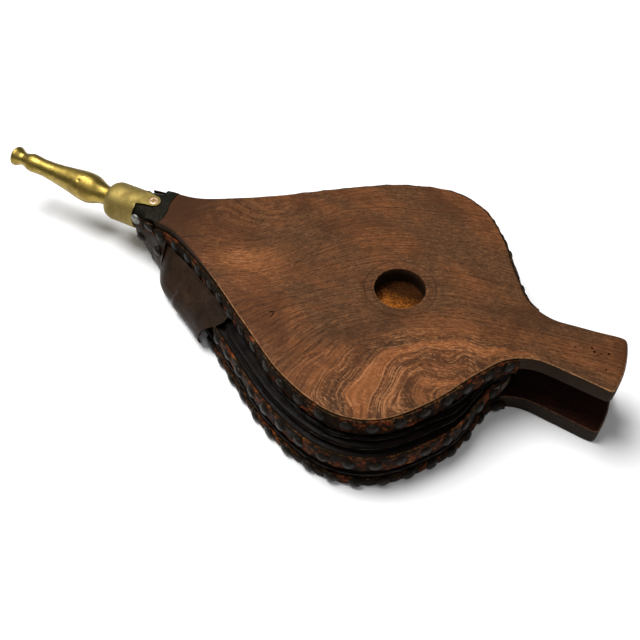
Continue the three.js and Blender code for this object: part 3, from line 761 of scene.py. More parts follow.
def boardLoop(side, endX, frontX):
    # anticlockwise from above, starting at the nose on the near side
    nose, corner = side[0], side[-1]
    square, inset = corner.y - 4, endX - 1.8
    loop = [Vector((p.x, -p.y)) for p in side]
    loop += bend((corner.x, -corner.y), (endX - 2.3, -corner.y), (inset, -square), 6)
    loop += bend((inset, -square), (endX + 1.8, 0), (inset, square), 16)
    loop += bend((inset, square), (endX - 2.3, corner.y), (corner.x, corner.y), 6)
    loop += [p.copy() for p in reversed(side[:-1])]
    if frontX < nose.x:
        loop += bend((nose.x, nose.y), (frontX, nose.y), (frontX, 0), 10)
        loop += bend((frontX, 0), (frontX, -nose.y), (nose.x, -nose.y), 10)[:-1]
    return loop


def loopOutward(loop, i):
    along = (loop[(i + 1) % len(loop)] - loop[i - 1]).normalized()
    return Vector((along.y, -along.x))


def insideLoop(places, loop):
    # even-odd test of many (x, y) places against one closed loop
    x, y = places[:, 0], places[:, 1]
    inside = np.zeros(len(places), bool)
    for i in range(len(loop)):
        a, b = loop[i - 1], loop[i]
        if a.y != b.y:
            inside ^= ((a.y > y) != (b.y > y)) & (x < (b.x - a.x) * (y - a.y) / (b.y - a.y) + a.x)
    return inside


def fillBetween(loop, holes, rings, spacing):
    # triangles between a loop and its holes, over a grid of inner points; rings are loops that aren't holes
    low = Vector((min(p.x for p in loop), min(p.y for p in loop)))
    high = Vector((max(p.x for p in loop), max(p.y for p in loop)))
    grid = []
    for row in range(int((high.y - low.y) / spacing) + 1):
        for column in range(int((high.x - low.x) / spacing) + 1):
            grid.append((low.x + (column + 0.5 * (row % 2)) * spacing, low.y + (row + 0.5) * spacing))
    grid = np.array(grid)
    room = 0.7 * spacing
    keep = insideLoop(grid, [p - loopOutward(loop, i) * room for i, p in enumerate(loop)])
    for other in holes + rings:
        centre = sum(other, Vector((0, 0))) / len(other)
        grown = [centre + (p - centre) * (1 + room / max(0.1, (p - centre).length)) for p in other]
        near = insideLoop(grid, grown)
        if other in rings:
            inward = [max(0.0, 1 - room / max(0.1, (p - centre).length)) for p in other]
            shrunk = [centre + (p - centre) * share for p, share in zip(other, inward)]
            near &= ~insideLoop(grid, shrunk)
        keep &= ~near
    coords, edges = [], []
    for one in [loop] + holes + rings:
        start = len(coords)
        coords += [Vector(p) for p in one]
        edges += [(start + i, start + (i + 1) % len(one)) for i in range(len(one))]
    edgeCount = len(coords)
    coords += [Vector(p) for p in grid[keep]]
    places, _, triangles, origins, _, _ = delaunay_2d_cdt(coords, edges, [], 0, 1e-6)
    middles = np.array([sum((places[v] for v in t), Vector((0, 0))) / 3 for t in triangles])
    wanted = insideLoop(middles, loop)
    for hole in holes:
        wanted &= ~insideLoop(middles, hole)
    triangles = [tuple(origins[v][0] for v in t) for t, ok in zip(triangles, wanted) if ok]
    return coords, triangles, edgeCount


def circle(centre, radius, count, flat=1.0, turn=0.0):
    made = []
    for angle in turned(count):
        x, y = radius * math.cos(angle), radius * flat * math.sin(angle)
        made.append(Vector((centre[0] + x * math.cos(turn) - y * math.sin(turn),
                            centre[1] + x * math.sin(turn) + y * math.cos(turn))))
    return made


def boardPiece(name, loop, low, high, place, material, s):
    # one closed board: worn upper edge, rim, lower edge, both faces, the valve hole and small pits
    points, wearAt, rimAt, faces = [], [], [], []

    def put(spots, worn=0.0, rim=0.0):
        points.extend(spots)
        wearAt.extend([worn] * len(spots))
        rimAt.extend([rim] * len(spots))
        return len(points) - len(spots)

    def level(ring, z):
        return [(p.x, p.y, z) for p in ring]

    def edgeRing(share, z, flip):
        # one line round a rounded edge, softer at the handle's end
        turn = share * math.pi / 2
        ring, spots = [], []
        for i, p in enumerate(loop):
            soft = s["round"] * (1 + 0.45 * roughly(p.x, p.y, flip, 14, 3.1))
            soft += s["endRound"] * easeStep(p.x, *s["endFrom"])
            soft *= 0.6 if flip < 0 else 1.0
            ring.append(p - loopOutward(loop, i) * soft * (1 - math.sin(turn)))
            spots.append((ring[-1].x, ring[-1].y, z - flip * soft * (1 - math.cos(turn))))
        return ring, spots

    def faceFill(ring, ringStart, z, holes, rings, rise):
        # holes: [(loop, number of its first point)]; rings: [(loop, dip)]
        coords, triangles, edgeCount = fillBetween(ring, [h for h, _ in holes], [r for r, _ in rings],
                                                   s["grid"])
        numbers = []
        for one, start in [(ring, ringStart)] + holes:
            numbers += range(start, start + len(one))
        extra = [level(one, z - dip) for one, dip in rings]
        extra.append([(p.x, p.y, z + rise(p)) for p in coords[edgeCount:]])
        for spots in extra:
            start = put(spots)
            numbers += range(start, start + len(spots))
        faces.extend(tuple(numbers[v] for v in t) for t in triangles)

    topRing, spots = edgeRing(0, high, 1)
    starts = [put(spots)]
    for k, (worn, rim) in enumerate(s["topEdge"], 1):
        starts.append(put(edgeRing(k / len(s["topEdge"]), high, 1)[1], worn, rim))
    # the sides take the full rim value: painted shade down the top board's sides
    for share in (0.33, 0.66):
        starts.append(put(level(loop, high + (low - high) * share), 0.0, 1.0))
    for k in range(4, -1, -1):
        bottomRing, spots = edgeRing(k / 4, low, -1)
        starts.append(put(spots, 0.25 if k < 4 else 0.05, 1.0 if k > 2 else 0.5))
    for a, b in zip(starts, starts[1:]):
        faces += joinRings(a, b, len(loop))

    topHoles, bottomHoles, rings = [], [], []
    if "hole" in s:
        around = s["holeAround"]
        # the rim values down the wall bring in the Rim tone: painted shade inside the hole on the top board
        levels = [(0.8, high, 0.3, 0.0), (0.35, high - 0.15, 0.9, 0.1), (0, high - 0.6, 0.4, 0.8),
                  (-0.1, (low + high) / 2, 0.0, 1.0), (0, low + 0.4, 0.2, 1.0), (0.5, low, 0.2, 0.8)]
        loops = [circle(s["hole"], s["holeRadius"] + more, around) for more, _, _, _ in levels]
        wall = [put(level(one, z), worn, rim) for one, (_, z, worn, rim) in zip(loops, levels)]
        for a, b in zip(wall, wall[1:]):
            faces += joinRings(a, b, around)
        topHoles.append((loops[0], wall[0]))
        bottomHoles.append((loops[-1], wall[-1]))
        rings = [(circle(s["hole"], r, around), dip) for r, dip in s["turnedRings"]]
    for x, y, size, flat, turn, depth in s["pits"]:
        mouth = circle((x, y), size, 10, flat, turn)
        start = put(level(mouth, high))
        # the pit floor takes the Rim tone as well: painted shade at the bottom of each pit
        floor = put(level(circle((x, y), size * 0.75, 10, flat, turn), high - depth), 0.0, 1.0)
        faces += joinRings(start, floor, 10)
        faces.append(tuple(range(floor, floor + 10)))
        topHoles.append((mouth, start))
    faceFill(topRing, starts[0], high, topHoles, rings,
             lambda p: s["planed"] * roughly(p.x, p.y, 0, 38, 1.7))
    faceFill(bottomRing, starts[-1], low, bottomHoles, [], lambda p: 0.0)
    return newPiece(name, points, faces, place, material, wearAt, rimAt, sharp=38)


wormHoles = [(276.3, 1.2), (285.6, 4.8), (289.8, 1.2), (291.4, 2.8), (295.5, 4.7), (296.2, -7.4),
             (287.5, 2.6)]
# the rim column brings in the Rim tone, on the top board a painted shade down its sides
edgeWear = [(0.35, 0.0), (0.8, 0.1), (1.0, 0.4), (0.55, 0.8), (0.1, 1.0)]  # (rubbed, rim) from the face down
topBoardSet = {
    "round": 1.3, "endRound": 1.6, "endFrom": (296, 306), "grid": 5.0, "planed": 0.16, "topEdge": edgeWear,
    "hole": (166, 0), "holeRadius": 16.3, "holeAround": 72,
    "turnedRings": [(20.2, 0.0), (20.9, 0.22), (21.6, 0.0)],
    "pits": [(x, y, 0.75 + 0.2 * math.sin(7 * x), 0.85, x, 3.5) for x, y in wormHoles]
    + [(101.5, -51.6, 2.3, 0.2, 0.35, 0.6), (102.9, -53.6, 2.1, 0.2, 1.6, 0.6), (52, 12, 1.1, 0.5, 0.3, 0.6),
       (47, 20, 0.9, 0.5, 0.2, 0.5), (84, 34, 0.8, 0.6, 0.2, 0.6)],
}
bottomBoardSet = {"round": 1.2, "endRound": 1.2, "endFrom": (298, 308), "grid": 6.0, "planed": 0.12,
                  "pits": [],
                  "topEdge": edgeWear}


def makeBoards():
    loop = boardLoop(topSide, outline["handleEnd"], layout["hingeX"])
    top = boardPiece("top_board_wood", loop, -layout["topThickness"], 0, topPlace, topWood, topBoardSet)
    finishPiece(top, "top_board", "top_wood", "top_board")
    loop = boardLoop(bottomSide, outline["handleEnd"] + outline["bottomExtra"], outline["bottomFront"])
    bottom = boardPiece("bottom_board_wood", loop, 0, layout["bottomThickness"], basePlace, sideWood,
                        bottomBoardSet)
    finishPiece(bottom, "bottom_board", "side_wood", "bottom_board")


makeBoards()
print("boards built")

noseSet = {
    "frontX": -30.7, "rearX": -10.4, "spigotX": -47, "axisZ": 34.6, "frontRadius": 11.2,
    "rearHalfWidth": 13.6,
    "rearTop": 45.6, "rearLow": 12.3, "undersideRise": 1.9, "squareness": 7, "duct": 5,
    "wrapOff": 0.3, "wrapThick": 1.2, "pastSide": 0.12 * math.pi, "around": 96, "wrapAround": 72,
    "wrapRows": 23,
}


def noseRing(t, grow, angles):
    s = noseSet
    halfWidth = s["frontRadius"] + (s["rearHalfWidth"] - s["frontRadius"]) * t + grow
    frontTop = s["axisZ"] + s["frontRadius"]
    top = frontTop + (s["rearTop"] - frontTop) * t + grow
    frontLow = s["axisZ"] - s["frontRadius"]
    low = frontLow + (s["rearLow"] - frontLow) * min(1, s["undersideRise"] * t)
    power = 2 / (2 + (s["squareness"] - 2) * t)
    middle = (top + low) / 2
    ring = []
    for angle in angles:
        c, n = math.cos(angle), math.sin(angle)
        ring.append((math.copysign(abs(c) ** power, c) * halfWidth,
                     middle + math.copysign(abs(n) ** power, n) * (top - middle)))
    return ring


def makeNoseBlock():
    s = noseSet
    angles = turned(s["around"])
    spigot = ((s["rearX"], s["duct"]), (s["spigotX"], s["duct"]), (s["spigotX"], s["frontRadius"] - 0.8),
              (s["spigotX"] + 0.8, s["frontRadius"]), (s["frontX"] - 0.5, s["frontRadius"]))
    points = [(x, math.cos(a) * r, s["axisZ"] + math.sin(a) * r) for x, r in spigot for a in angles]
    steps = 18
    for i in range(steps + 1):
        x = s["frontX"] + (s["rearX"] - s["frontX"]) * (i / steps)
        points += [(x, y, z) for y, z in noseRing(i / steps, 0.0, angles)]
    faces = tubeFaces(len(spigot) + steps + 1, len(angles), True)
    block = newPiece("nose_block_wood", points, faces, basePlace, sideWood)
    finishPiece(block, "bottom_board", "side_wood", "nose_block")


def makeNoseWrap():
    s = noseSet
    count = s["wrapAround"]
    start, end = -s["pastSide"], math.pi + s["pastSide"]
    over = [start + (end - start) * k / count for k in range(count + 1)]
    points, wearAt, rows = [], [], s["wrapRows"]
    for i in range(rows):
        t = i / (rows - 1)
        x = s["frontX"] + (s["rearX"] - s["frontX"]) * t
        outer = noseRing(t, s["wrapOff"] + s["wrapThick"], over)
        inner = noseRing(t, s["wrapOff"], over)
        for k, (y, z) in enumerate(outer):
            lift = 0.25 * roughly(x, y, z, 6, 2.2)
            points.append((x, y * (1 + lift / 15), z + lift * 0.6))
            wearAt.append(0.8 if k in (0, count) or i in (0, rows - 1) else 0.1)
        for y, z in reversed(inner):
            points.append((x, y, z))
            wearAt.append(0.0)
    around = 2 * (count + 1)
    faces = tubeFaces(rows, around)
    for first in (0, (rows - 1) * around):
        last = first + around - 1
        faces += [(first + k, first + k + 1, last - 1 - k, last - k) for k in range(count)]
    wrap = newPiece("nose_wrap_leather", points, faces, basePlace, noseLeather, wearAt, sharp=60)
    finishPiece(wrap, "bottom_board", "black_leather", "nose_wrap")


hingeLeatherSet = {"frontX": -17.5, "rearX": -5.6, "slant": 3.4, "halfWidth": 14.9, "widening": 0.045,
                   "thick": 0.55, "lift": 0.15, "bendOver": 3}


def makeHingeLeather():
    # the strip that joins the nose to the top board; two halves meet on the hinge line
    s = hingeLeatherSet
    seam = layout["hingeX"]
    halves = (("front", s["frontX"], seam, ("bottom_board", "middle_hoop"), -s["bendOver"], 0),
              ("rear", seam, s["rearX"], ("middle_hoop", "top_board"), 0, s["bendOver"]))
    for half, fromX, toX, bodies, bendFrom, bendTo in halves:
        isRear = half == "rear"

        def pointAt(u, v, inner):
            across = 2 * v - 1
            edgeX = toX - s["slant"] * easeStep(across, -0.7, 0.6) if isRear else toX
            x = fromX + (edgeX - fromX) * u
            y = across * (s["halfWidth"] + s["widening"] * (x - s["frontX"]))
            top = hingeZ + s["lift"] + 0.18 * roughly(x, y, 0, 5, 4.4)
            front = 1 - easeStep(x, s["frontX"], s["frontX"] + 5)
            top += -0.9 * abs(across) ** 10 - 0.6 * front
            ragged = 0.9 * roughly(0, y, 0, 7, 1.1) if isRear and u == 1 else 0.0
            return (x + ragged, y * 0.985, top - 0.1) if inner else (x + ragged, y, top + s["thick"])

        def wornAt(u, v):
            return 0.85 if abs(2 * v - 1) > 0.96 or (isRear and u == 1) else 0.0

        piece = sheetPiece(f"hinge_leather_{half}", pointAt, 8, 40, basePlace, noseLeather, wornAt)
        start, end = (basePlace @ Vector((seam + along, 0, hingeZ)) for along in (bendFrom, bendTo))
        finishBent(piece, bodies, start, end, "black_leather")


makeNoseBlock()
makeNoseWrap()
makeHingeLeather()
print("nose built")

ferruleSet = {
    "frontX": -58, "rearX": -31, "radius": 14.1, "wall": 2.4, "mouth": 8.2, "neck": 9.4, "shoulder": 7,
    "earRoot": 6.5, "earTip": 4.9, "screwX": -19.8, "earWall": 1.4, "segments": 180,
}


def makeFerrule():
    s = ferruleSet

    def rearAt(angle):
        # the tube's rear edge, with the ear standing back from it over the top
        y = abs(s["radius"] * math.cos(angle))
        if math.sin(angle) < 0 or y > s["earRoot"]:
            return s["rearX"] + 0.25 * math.sin(9 * angle)
        if y > s["earTip"] * 0.985:
            share = (s["earRoot"] - y) / (s["earRoot"] - s["earTip"] * 0.985)
            return s["rearX"] + (s["screwX"] - s["rearX"]) * share**0.8
        return s["screwX"] + math.sqrt(s["earTip"] ** 2 - y * y)

    angles = turned(s["segments"])
    crowd = math.asin(s["earRoot"] / s["radius"])
    angles += [math.pi / 2 + sign * crowd * (0.62 + 0.4 * k / 14) for sign in (-1, 1) for k in range(15)]
    angles = sorted(angles)
    count = len(angles)
    outer = []
    for i in range(9):
        turn = i / 8 * math.pi / 2
        outer.append((s["frontX"] + s["shoulder"] * (1 - math.cos(turn)),
                      s["neck"] + (s["radius"] - s["neck"]) * math.sin(turn)))
    rings, wearAt = [], []

    def addRing(place, worn):
        rings.append([place(a) for a in angles])
        wearAt.extend([worn] * count)

    def plain(x, r):
        def at(angle):
            dent = 0.10 * roughly(x, 14 * math.cos(angle), 14 * math.sin(angle), 7, 5.0)
            return (x, (r + dent) * math.cos(angle), noseSet["axisZ"] + (r + dent) * math.sin(angle))
        return at

    def wallAt(share, r, inset=0.0):
        def at(angle):
            fromX = s["frontX"] + s["shoulder"] + 0.6
            rear = rearAt(angle) - inset
            x = fromX + (rear - fromX) * share
            dent = 0.10 * roughly(x, 14 * math.cos(angle), 14 * math.sin(angle), 7, 5.0)
            radius = r + dent
            y, z = radius * math.cos(angle), radius * math.sin(angle)
            flat = easeStep(x, s["rearX"] - 2, s["rearX"] + 5)
            if x > s["rearX"] - 2 and math.sin(angle) > 0:
                level = s["radius"] - (s["radius"] - r) * s["earWall"] / s["wall"]
                z += (level - z) * flat
            return (x, y, noseSet["axisZ"] + z)
        return at

    inner = s["radius"] - s["wall"]
    addRing(plain(s["frontX"] + 0.4, s["mouth"]), 0.3)
    addRing(plain(s["frontX"], s["mouth"] + 0.5), 0.9)
    for x, r in outer:
        addRing(plain(x, r), 0.55 if x < s["frontX"] + 1 else 0.1)
    shares = [k / 14 for k in range(15)]
    for share in shares:
        addRing(wallAt(share, s["radius"], 0.35), 0.15 if share < 0.95 else 0.8)
    addRing(wallAt(1.0, s["radius"] - 0.35), 1.0)
    addRing(wallAt(1.0, inner + 0.35), 0.6)
    for share in reversed(shares):
        addRing(wallAt(share, inner, 0.35), 0.0)
    addRing(plain(s["frontX"] + 4, inner - 2.2), 0.0)
    points = [p for ring in rings for p in ring]
    piece = newPiece("ferrule_socket", points, tubeFaces(len(rings), count, True), basePlace, ferruleBrass,
                     wearAt, sharp=45)
    finishPiece(piece, "bottom_board", "brass", "ferrule")


screwSet = {"radius": 3.3, "slot": 0.45, "slotEnd": 2.3, "slotDepth": 0.55, "turn": 0.45,
            "dome": 0.45, "ring": 0.12, "ringAt": 2.75, "rings": 22, "around": 64}


def makeFerruleScrew():
    # a flat head with a raised ring and a cross slot
    s = screwSet
    top = noseSet["axisZ"] + ferruleSet["radius"] - 0.15
    rings, around = s["rings"], s["around"]
    points, wearAt = [(ferruleSet["screwX"], 0, 0)], [0.0]
    for i in range(1, rings + 1):
        r = s["radius"] * i / rings
        for angle in turned(around):
            points.append((ferruleSet["screwX"] + r * math.cos(angle), r * math.sin(angle), 0))
            wearAt.append(0.9 if 0.72 < r / s["radius"] < 0.95 else 0.2)
    for index, (x, y, _) in enumerate(points):
        u, v = x - ferruleSet["screwX"], y
        a = abs(u * math.cos(s["turn"]) + v * math.sin(s["turn"]))
        b = abs(v * math.cos(s["turn"]) - u * math.sin(s["turn"]))
        r = math.hypot(u, v)
        inSlot = max(1 - easeStep(b, s["slot"], s["slot"] + 0.25) if a < s["slotEnd"] else 0,
                     1 - easeStep(a, s["slot"], s["slot"] + 0.25) if b < s["slotEnd"] else 0)
        rise = s["dome"] * math.sqrt(max(0.0, 1 - (r / (s["radius"] * 1.02)) ** 2))
        rise += s["ring"] * math.exp(-((r - s["ringAt"]) / 0.3) ** 2)
        points[index] = (x, y, top + rise - s["slotDepth"] * inSlot)
    faces = [(0, 1 + k, 1 + (k + 1) % around) for k in range(around)]
    for i in range(rings - 1):
        a, b = 1 + i * around, 1 + (i + 1) * around
        faces += [(a + k, b + k, b + (k + 1) % around, a + (k + 1) % around) for k in range(around)]
    foot = len(points)
    last = foot - around
    points += [(x, y, top - 1.0) for x, y, _ in points[last:foot]]
    wearAt += [0.0] * around
    faces += [(last + k, foot + k, foot + (k + 1) % around, last + (k + 1) % around) for k in range(around)]
    faces.append(tuple(range(foot, foot + around)))
    piece = newPiece("ferrule_cross_screw", points, faces, basePlace, copper, wearAt, sharp=50)
    finishPiece(piece, "bottom_board", "brass", "ferrule_screw")


nozzleSet = {
    "tipX": -144, "rearX": -49, "tilt": 5, "bore": 3.6, "segments": 96, "pit": (61.5, 2.05, 0.9),
    "lip": [(0.5, 5.4), (0, 6.0), (0.1, 6.7), (0.8, 7.3), (1.8, 7.3), (3.4, 6.6), (5.2, 5.6), (7.0, 5.0)],
    "barrel": [(8.5, 4.9), (11.5, 5.8), (15, 6.8), (19, 6.75), (24, 6.4), (32, 6.8), (40, 7.6), (49, 8.9),
               (56, 10.1), (61, 10.9), (65, 11.1), (68.5, 10.9), (72, 10), (76, 8.4), (80, 7.3), (84, 7.2)],
}


def makeNozzle():
    s = nozzleSet
    reach = s["rearX"] - s["tipX"]
    lip = [Vector(p) for p in s["lip"]]
    barrel = smoothLine(s["barrel"], 0.9)
    outside = lip + barrel + [Vector((reach, 7.1))]
    inside = [Vector(p) for p in ((reach, 4.8), (20, s["bore"]), (4, s["bore"]), (0.8, s["bore"] + 0.9))]
    profile = [(p.x, p.y) for p in outside + inside]
    pitX, pitAngle, pitSize = s["pit"]

    def shake(x, r, angle):
        # slow unevenness from hand filing, and one casting pit
        if r < 4.85:
            return 0.0
        uneven = 0.16 * roughly(x, 12 * math.cos(angle), 12 * math.sin(angle), 9, 8.0)
        uneven += 0.05 * roughly(x, 12 * math.cos(angle), 12 * math.sin(angle), 2.5, 9.0)
        away = math.hypot(x - pitX, (angle - pitAngle) * r) / pitSize
        return uneven - 0.75 * math.exp(-away * away)

    place = basePlace @ Matrix.Translation((s["rearX"], 0, noseSet["axisZ"]))
    place = place @ Matrix.Rotation(math.radians(s["tilt"]), 4, "Y") @ Matrix.Translation((-reach, 0, 0))
    piece = lathePiece("nozzle_turned", profile, place, nozzleBrass, segments=s["segments"], shake=shake,
                       wearOf=lambda j: 0.9 if 1 <= j <= 4 else 0.1)
    finishPiece(piece, "bottom_board", "brass", "nozzle")

    # dark putty ring where the nozzle enters the ferrule
    ring = [(s["rearX"] - back, r) for back, r in ((9.6, 7.0), (9.9, 7.7), (9.2, 8.5), (8.2, 8.6),
                                                   (8.2, 7.0))]

    def lumpy(x, r, angle):
        return 0.18 * roughly(x, 9 * math.cos(angle), 9 * math.sin(angle), 3, 2.0) if r > 7.2 else 0.0

    seal = lathePiece("nozzle_seal_ring", ring, basePlace, noseLeather, axis=(0, noseSet["axisZ"] + 0.9),
                      segments=64, shake=lumpy)
    finishPiece(seal, "bottom_board", "brown_leather")


makeFerrule()
makeFerruleScrew()
makeNozzle()
print("ferrule and nozzle built")

hoopSet = {"centre": -27.6, "height": 8, "inset": 1, "cornerFrom": 239, "tailX": 247, "bend": 7, "reach": 16}
foldSet = {"thick": 1.2, "topTrimLow": -14.0, "rows": 48, "lowerThick": 1.1, "lowerRows": 14, "step": 2.4,
           "rimSpan": (50, 246)}


def ringLine(inset, spacing):
    # round one side of the belly and half way across the tail, with how far the top board stands inside it
    kept = [p for p in topSide if layout["hingeX"] + 8 < p.x < hoopSet["cornerFrom"]]
    line = shifted(kept, lambda x: overhangAt(x) - inset)
    end = line[-1]
    tail = hoopSet["tailX"]
    line += bend(end, (tail - 1, end.y - hoopSet["bend"]), (tail, end.y - hoopSet["reach"]), 8)
    line.append(Vector((tail + 0.2, 0)))
    return evenly(line, spacing)


def flareAt(x):
    if x >= hoopSet["cornerFrom"]:
        return hoopSet["inset"]
    return overhangAt(x) - hoopSet["inset"]


def thinned(corners, count):
    dense = smoothLine(corners, 0.12)
    return [(p.x, p.y) for p in evenly(dense, lengthsAlong(dense)[-1] / count)][: count + 1]


def backed(face, thick):
    # the leather's inner face, a little way behind its outer face
    made = []
    for j, (out, up) in enumerate(face):
        a, b = Vector(face[max(j - 1, 0)]), Vector(face[min(j + 1, len(face) - 1)])
        along = (b - a).normalized()
        made.append((out - along.y * thick, up + along.x * thick))
    return face + made[::-1]


def upperFace(x):
    # two folds between the hoop and the top board; in front the lower one is a broad roll
    s = foldSet
    flare = flareAt(x)
    low = hoopSet["centre"] + hoopSet["height"] / 2
    lean = math.tan(math.radians(layout["topTilt"] / 2)) * (x - layout["hingeX"])
    high = -layout["topThickness"] - 0.5 + lean
    underTrim = s["topTrimLow"] + lean
    rise = underTrim - low
    crisp = easeStep(x, 96, 150)
    roll = 1 - easeStep(x, 84, 118)
    wave = 0.35 * roughly(x, 0, 0, 16, 6.0)
    tuck = 6.5 * (1 - easeStep(x, 58, 80))
    lower = -0.27 * flare + wave + 1.2 * (1 - crisp) - tuck
    upper = -0.60 * flare - wave - 1.6 * (1 - crisp) - 0.5 * tuck - 1.2 * roll
    soft = 1 - 0.75 * crisp
    return [
        (-1.0, low - 8.4), (0.25, low - 7.6), (0.28, low - 3), (0.2, low + 0.5),
        (-0.40 * flare - 0.6 - 0.5 * tuck + 0.8 * roll, low + 0.20 * rise),
        (lower - 0.9 - 0.3 * soft, low + (0.41 - 0.06 * soft) * rise), (lower, low + 0.48 * rise),
        (lower - 0.9 - 0.6 * soft + 0.7 * roll, low + (0.54 + 0.08 * soft) * rise),
        (-0.64 * flare - 1.6 + 0.4 * soft - 0.6 * tuck + 0.6 * roll, low + (0.63 + 0.03 * soft) * rise),
        (upper - 0.9, low + 0.73 * rise), (upper, low + 0.80 * rise), (upper - 1.0, low + 0.86 * rise),
        (-flare - 1.5, low + 0.94 * rise), (-flare - 1.0, underTrim + 0.4), (-flare - 1.1, high),
    ]


def makeUpperLeather():
    s = foldSet
    count = s["rows"]
    line = ringLine(hoopSet["inset"], foldSet["step"])
    for side, label in sides:
        def section(i, p):
            corners = upperFace(p.x)
            crests = (Vector(corners[6]), Vector(corners[10]))
            face = thinned(corners, count)
            puckered = []
            for j, (out, up) in enumerate(face):
                pucker = 0.2 * roughly(p.x * 1.6, up * 0.5, p.y, 3.2, 3.0 + side)
                puckered.append((out + pucker * min(1, j / 8), up))
            made = backed(puckered, s["thick"])
            # the fold crests are lighter through the wear mask: worn leather and a painted highlight
            crestAway = [min((Vector(spot) - crest).length for crest in crests) for spot in face]
            rubbed = [math.exp(-(away / 0.8) ** 2) for away in crestAway]
            return [(*spot, 0.1 + 0.45 * worn) for spot, worn in zip(made, rubbed + [0.0] * len(face))]

        piece = stripPiece("upper_leather_" + label, line, section, hoopPlace, side, blackLeather)
        low = hoopSet["centre"] + hoopSet["height"] / 2
        start = hoopPlace @ Vector((layout["hingeX"], 0, low))
        end = hoopPlace @ Vector((layout["hingeX"], 0, foldSet["topTrimLow"] - 0.2))
        replaced = ["upper_leather"] if side < 0 else []
        finishBent(piece, ("middle_hoop", "top_board"), start, end, "black_leather", *replaced)


def lowerFace(x):
    base = layout["bottomThickness"] + 0.15
    high = hingeZ + hoopSet["centre"] - hoopSet["height"] / 2
    high += math.tan(math.radians(layout["topTilt"] / 2)) * (x - layout["hingeX"])
    mid = (base + high) / 2
    return [(1.7, base), (1.2, base + 0.5), (0.0, mid - 0.8), (-0.5, mid + 0.6), (-0.2, high - 1.0),
            (-0.6, high - 0.1), (-1.6, high)]


def makeLowerLeather():
    line = ringLine(hoopSet["inset"], foldSet["step"])
    for side, label in sides:
        def section(i, p):
            face = thinned(lowerFace(p.x), foldSet["lowerRows"])
            face = [(out + 0.18 * roughly(p.x, up, p.y, 4, 5.0 + side), up) for out, up in face]
            return backed(face, foldSet["lowerThick"])

        piece = stripPiece("lower_leather_" + label, line, section, basePlace, side, blackLeather,
                           lambda j: 0.15)
        start = basePlace @ Vector((layout["hingeX"], 0, layout["bottomThickness"] + 1))
        end = basePlace @ Vector((layout["hingeX"], 0, hingeZ + hoopSet["centre"] - hoopSet["height"] / 2))
        replaced = ["lower_leather"] if side < 0 else []
        finishBent(piece, ("bottom_board", "middle_hoop"), start, end, "black_leather", *replaced)


def makeRimSkirts():
    # the bellows leather comes down over the bottom board's rim, and the lowest trim is nailed over it
    line = between(bottomSide, *foldSet["rimSpan"])
    for side, label in sides:
        def section(i, p):
            swell = 0.2 * roughly(p.x, p.y, 0, 6, 7.0 + side)
            return [(0.12, 3.0), (0.7, 3.1), (0.95 + swell, 4.2), (1.05 + swell, 8), (1.1 + swell, 10.8),
                    (0.75, 11.9), (0.12, 12.1)]

        piece = stripPiece("rim_leather_" + label, line, section, basePlace, side, blackLeather,
                           lambda j: 0.5 if j == 4 else 0.1)
        finishPiece(piece, "bottom_board", "black_leather")


makeUpperLeather()
makeLowerLeather()
makeRimSkirts()
print("leather built")

nailSet = {"radius": 4.15, "height": 2.1, "pitch": 15.6, "margin": 5.6, "around": 22, "sink": 0.55}


def linePlace(line, distance):
    # the point and the outward direction at a distance along a line
    walked = 0.0
    for i in range(len(line) - 1):
        step = (line[i + 1] - line[i]).length
        if walked + step >= distance or i == len(line) - 2:
            share = (distance - walked) / step
            return line[i].lerp(line[i + 1], share), outwardAt(line, i)
        walked += step


def nailPlaces(line, pitch, margin):
    length = lengthsAlong(line)[-1]
    count = max(1, round((length - 2 * margin) / pitch))
    return [margin + (length - 2 * margin) * i / count for i in range(count + 1)]


def nailHead(points, faces, wearAt, spot, outward, side, rng, radius, sink):
    # one hand-driven dome: a little oval, a little tilted, with a thin skirt
    around = nailSet["around"]
    size = radius * rng.uniform(0.93, 1.06)
    tall = nailSet["height"] * radius / nailSet["radius"] * rng.uniform(0.85, 1.12)
    oval = rng.uniform(0.94, 1.06)
    lean = Matrix.Rotation(math.radians(rng.uniform(-7, 7)), 3, "Y")
    lean = lean @ Matrix.Rotation(math.radians(rng.uniform(-7, 7)), 3, "X")
    facing = Vector((outward[0], side * outward[1], outward[2] if len(outward) > 2 else 0)).normalized()
    turn = facing.to_track_quat("Z", "Y").to_matrix()
    dent = Vector((rng.uniform(-1, 1), rng.uniform(-1, 1), 0)) * 1.6
    start = len(points)
    centre = Vector((spot[0], side * spot[1], spot[2]))
    rows = [(1.0, -sink), (1.0, 0.0), (0.97, 0.25)]
    rows += [(math.cos(a), math.sin(a)) for a in (0.32, 0.62, 0.92, 1.2, 1.42)]
    for row, (r, h) in enumerate(rows):
        height = h if row < 2 else h * tall
        for angle in turned(around):
            local = Vector((size * r * math.cos(angle) * oval, size * r * math.sin(angle) / oval, height))
            knock = 0.16 * math.exp(-((local.x - dent.x) ** 2 + (local.y - dent.y) ** 2) / 1.6)
            local.z -= knock * (row > 1)
            points.append(centre + turn @ (lean @ local))
            # the dome's upper rows and tip take the rubbed tone: rubbed metal and a painted highlight
            wearAt.append(0.2 if row < 5 else 0.55)
    tip = Vector((0, 0, tall))
    points.append(centre + turn @ (lean @ tip))
    wearAt.append(0.6)
    for row in range(len(rows) - 1):
        faces.extend(joinRings(start + row * around, start + (row + 1) * around, around))
    a = start + (len(rows) - 1) * around
    faces.extend((a + k, a + (k + 1) % around, len(points) - 1) for k in range(around))
    faces.append(tuple(range(start + around - 1, start - 1, -1)))


def noDrop(x):
    return 0.0


def noseDrop(x):
    # the top trim hangs lower towards the nose
    return 5.5 * (1 - easeStep(x, 12, 80))


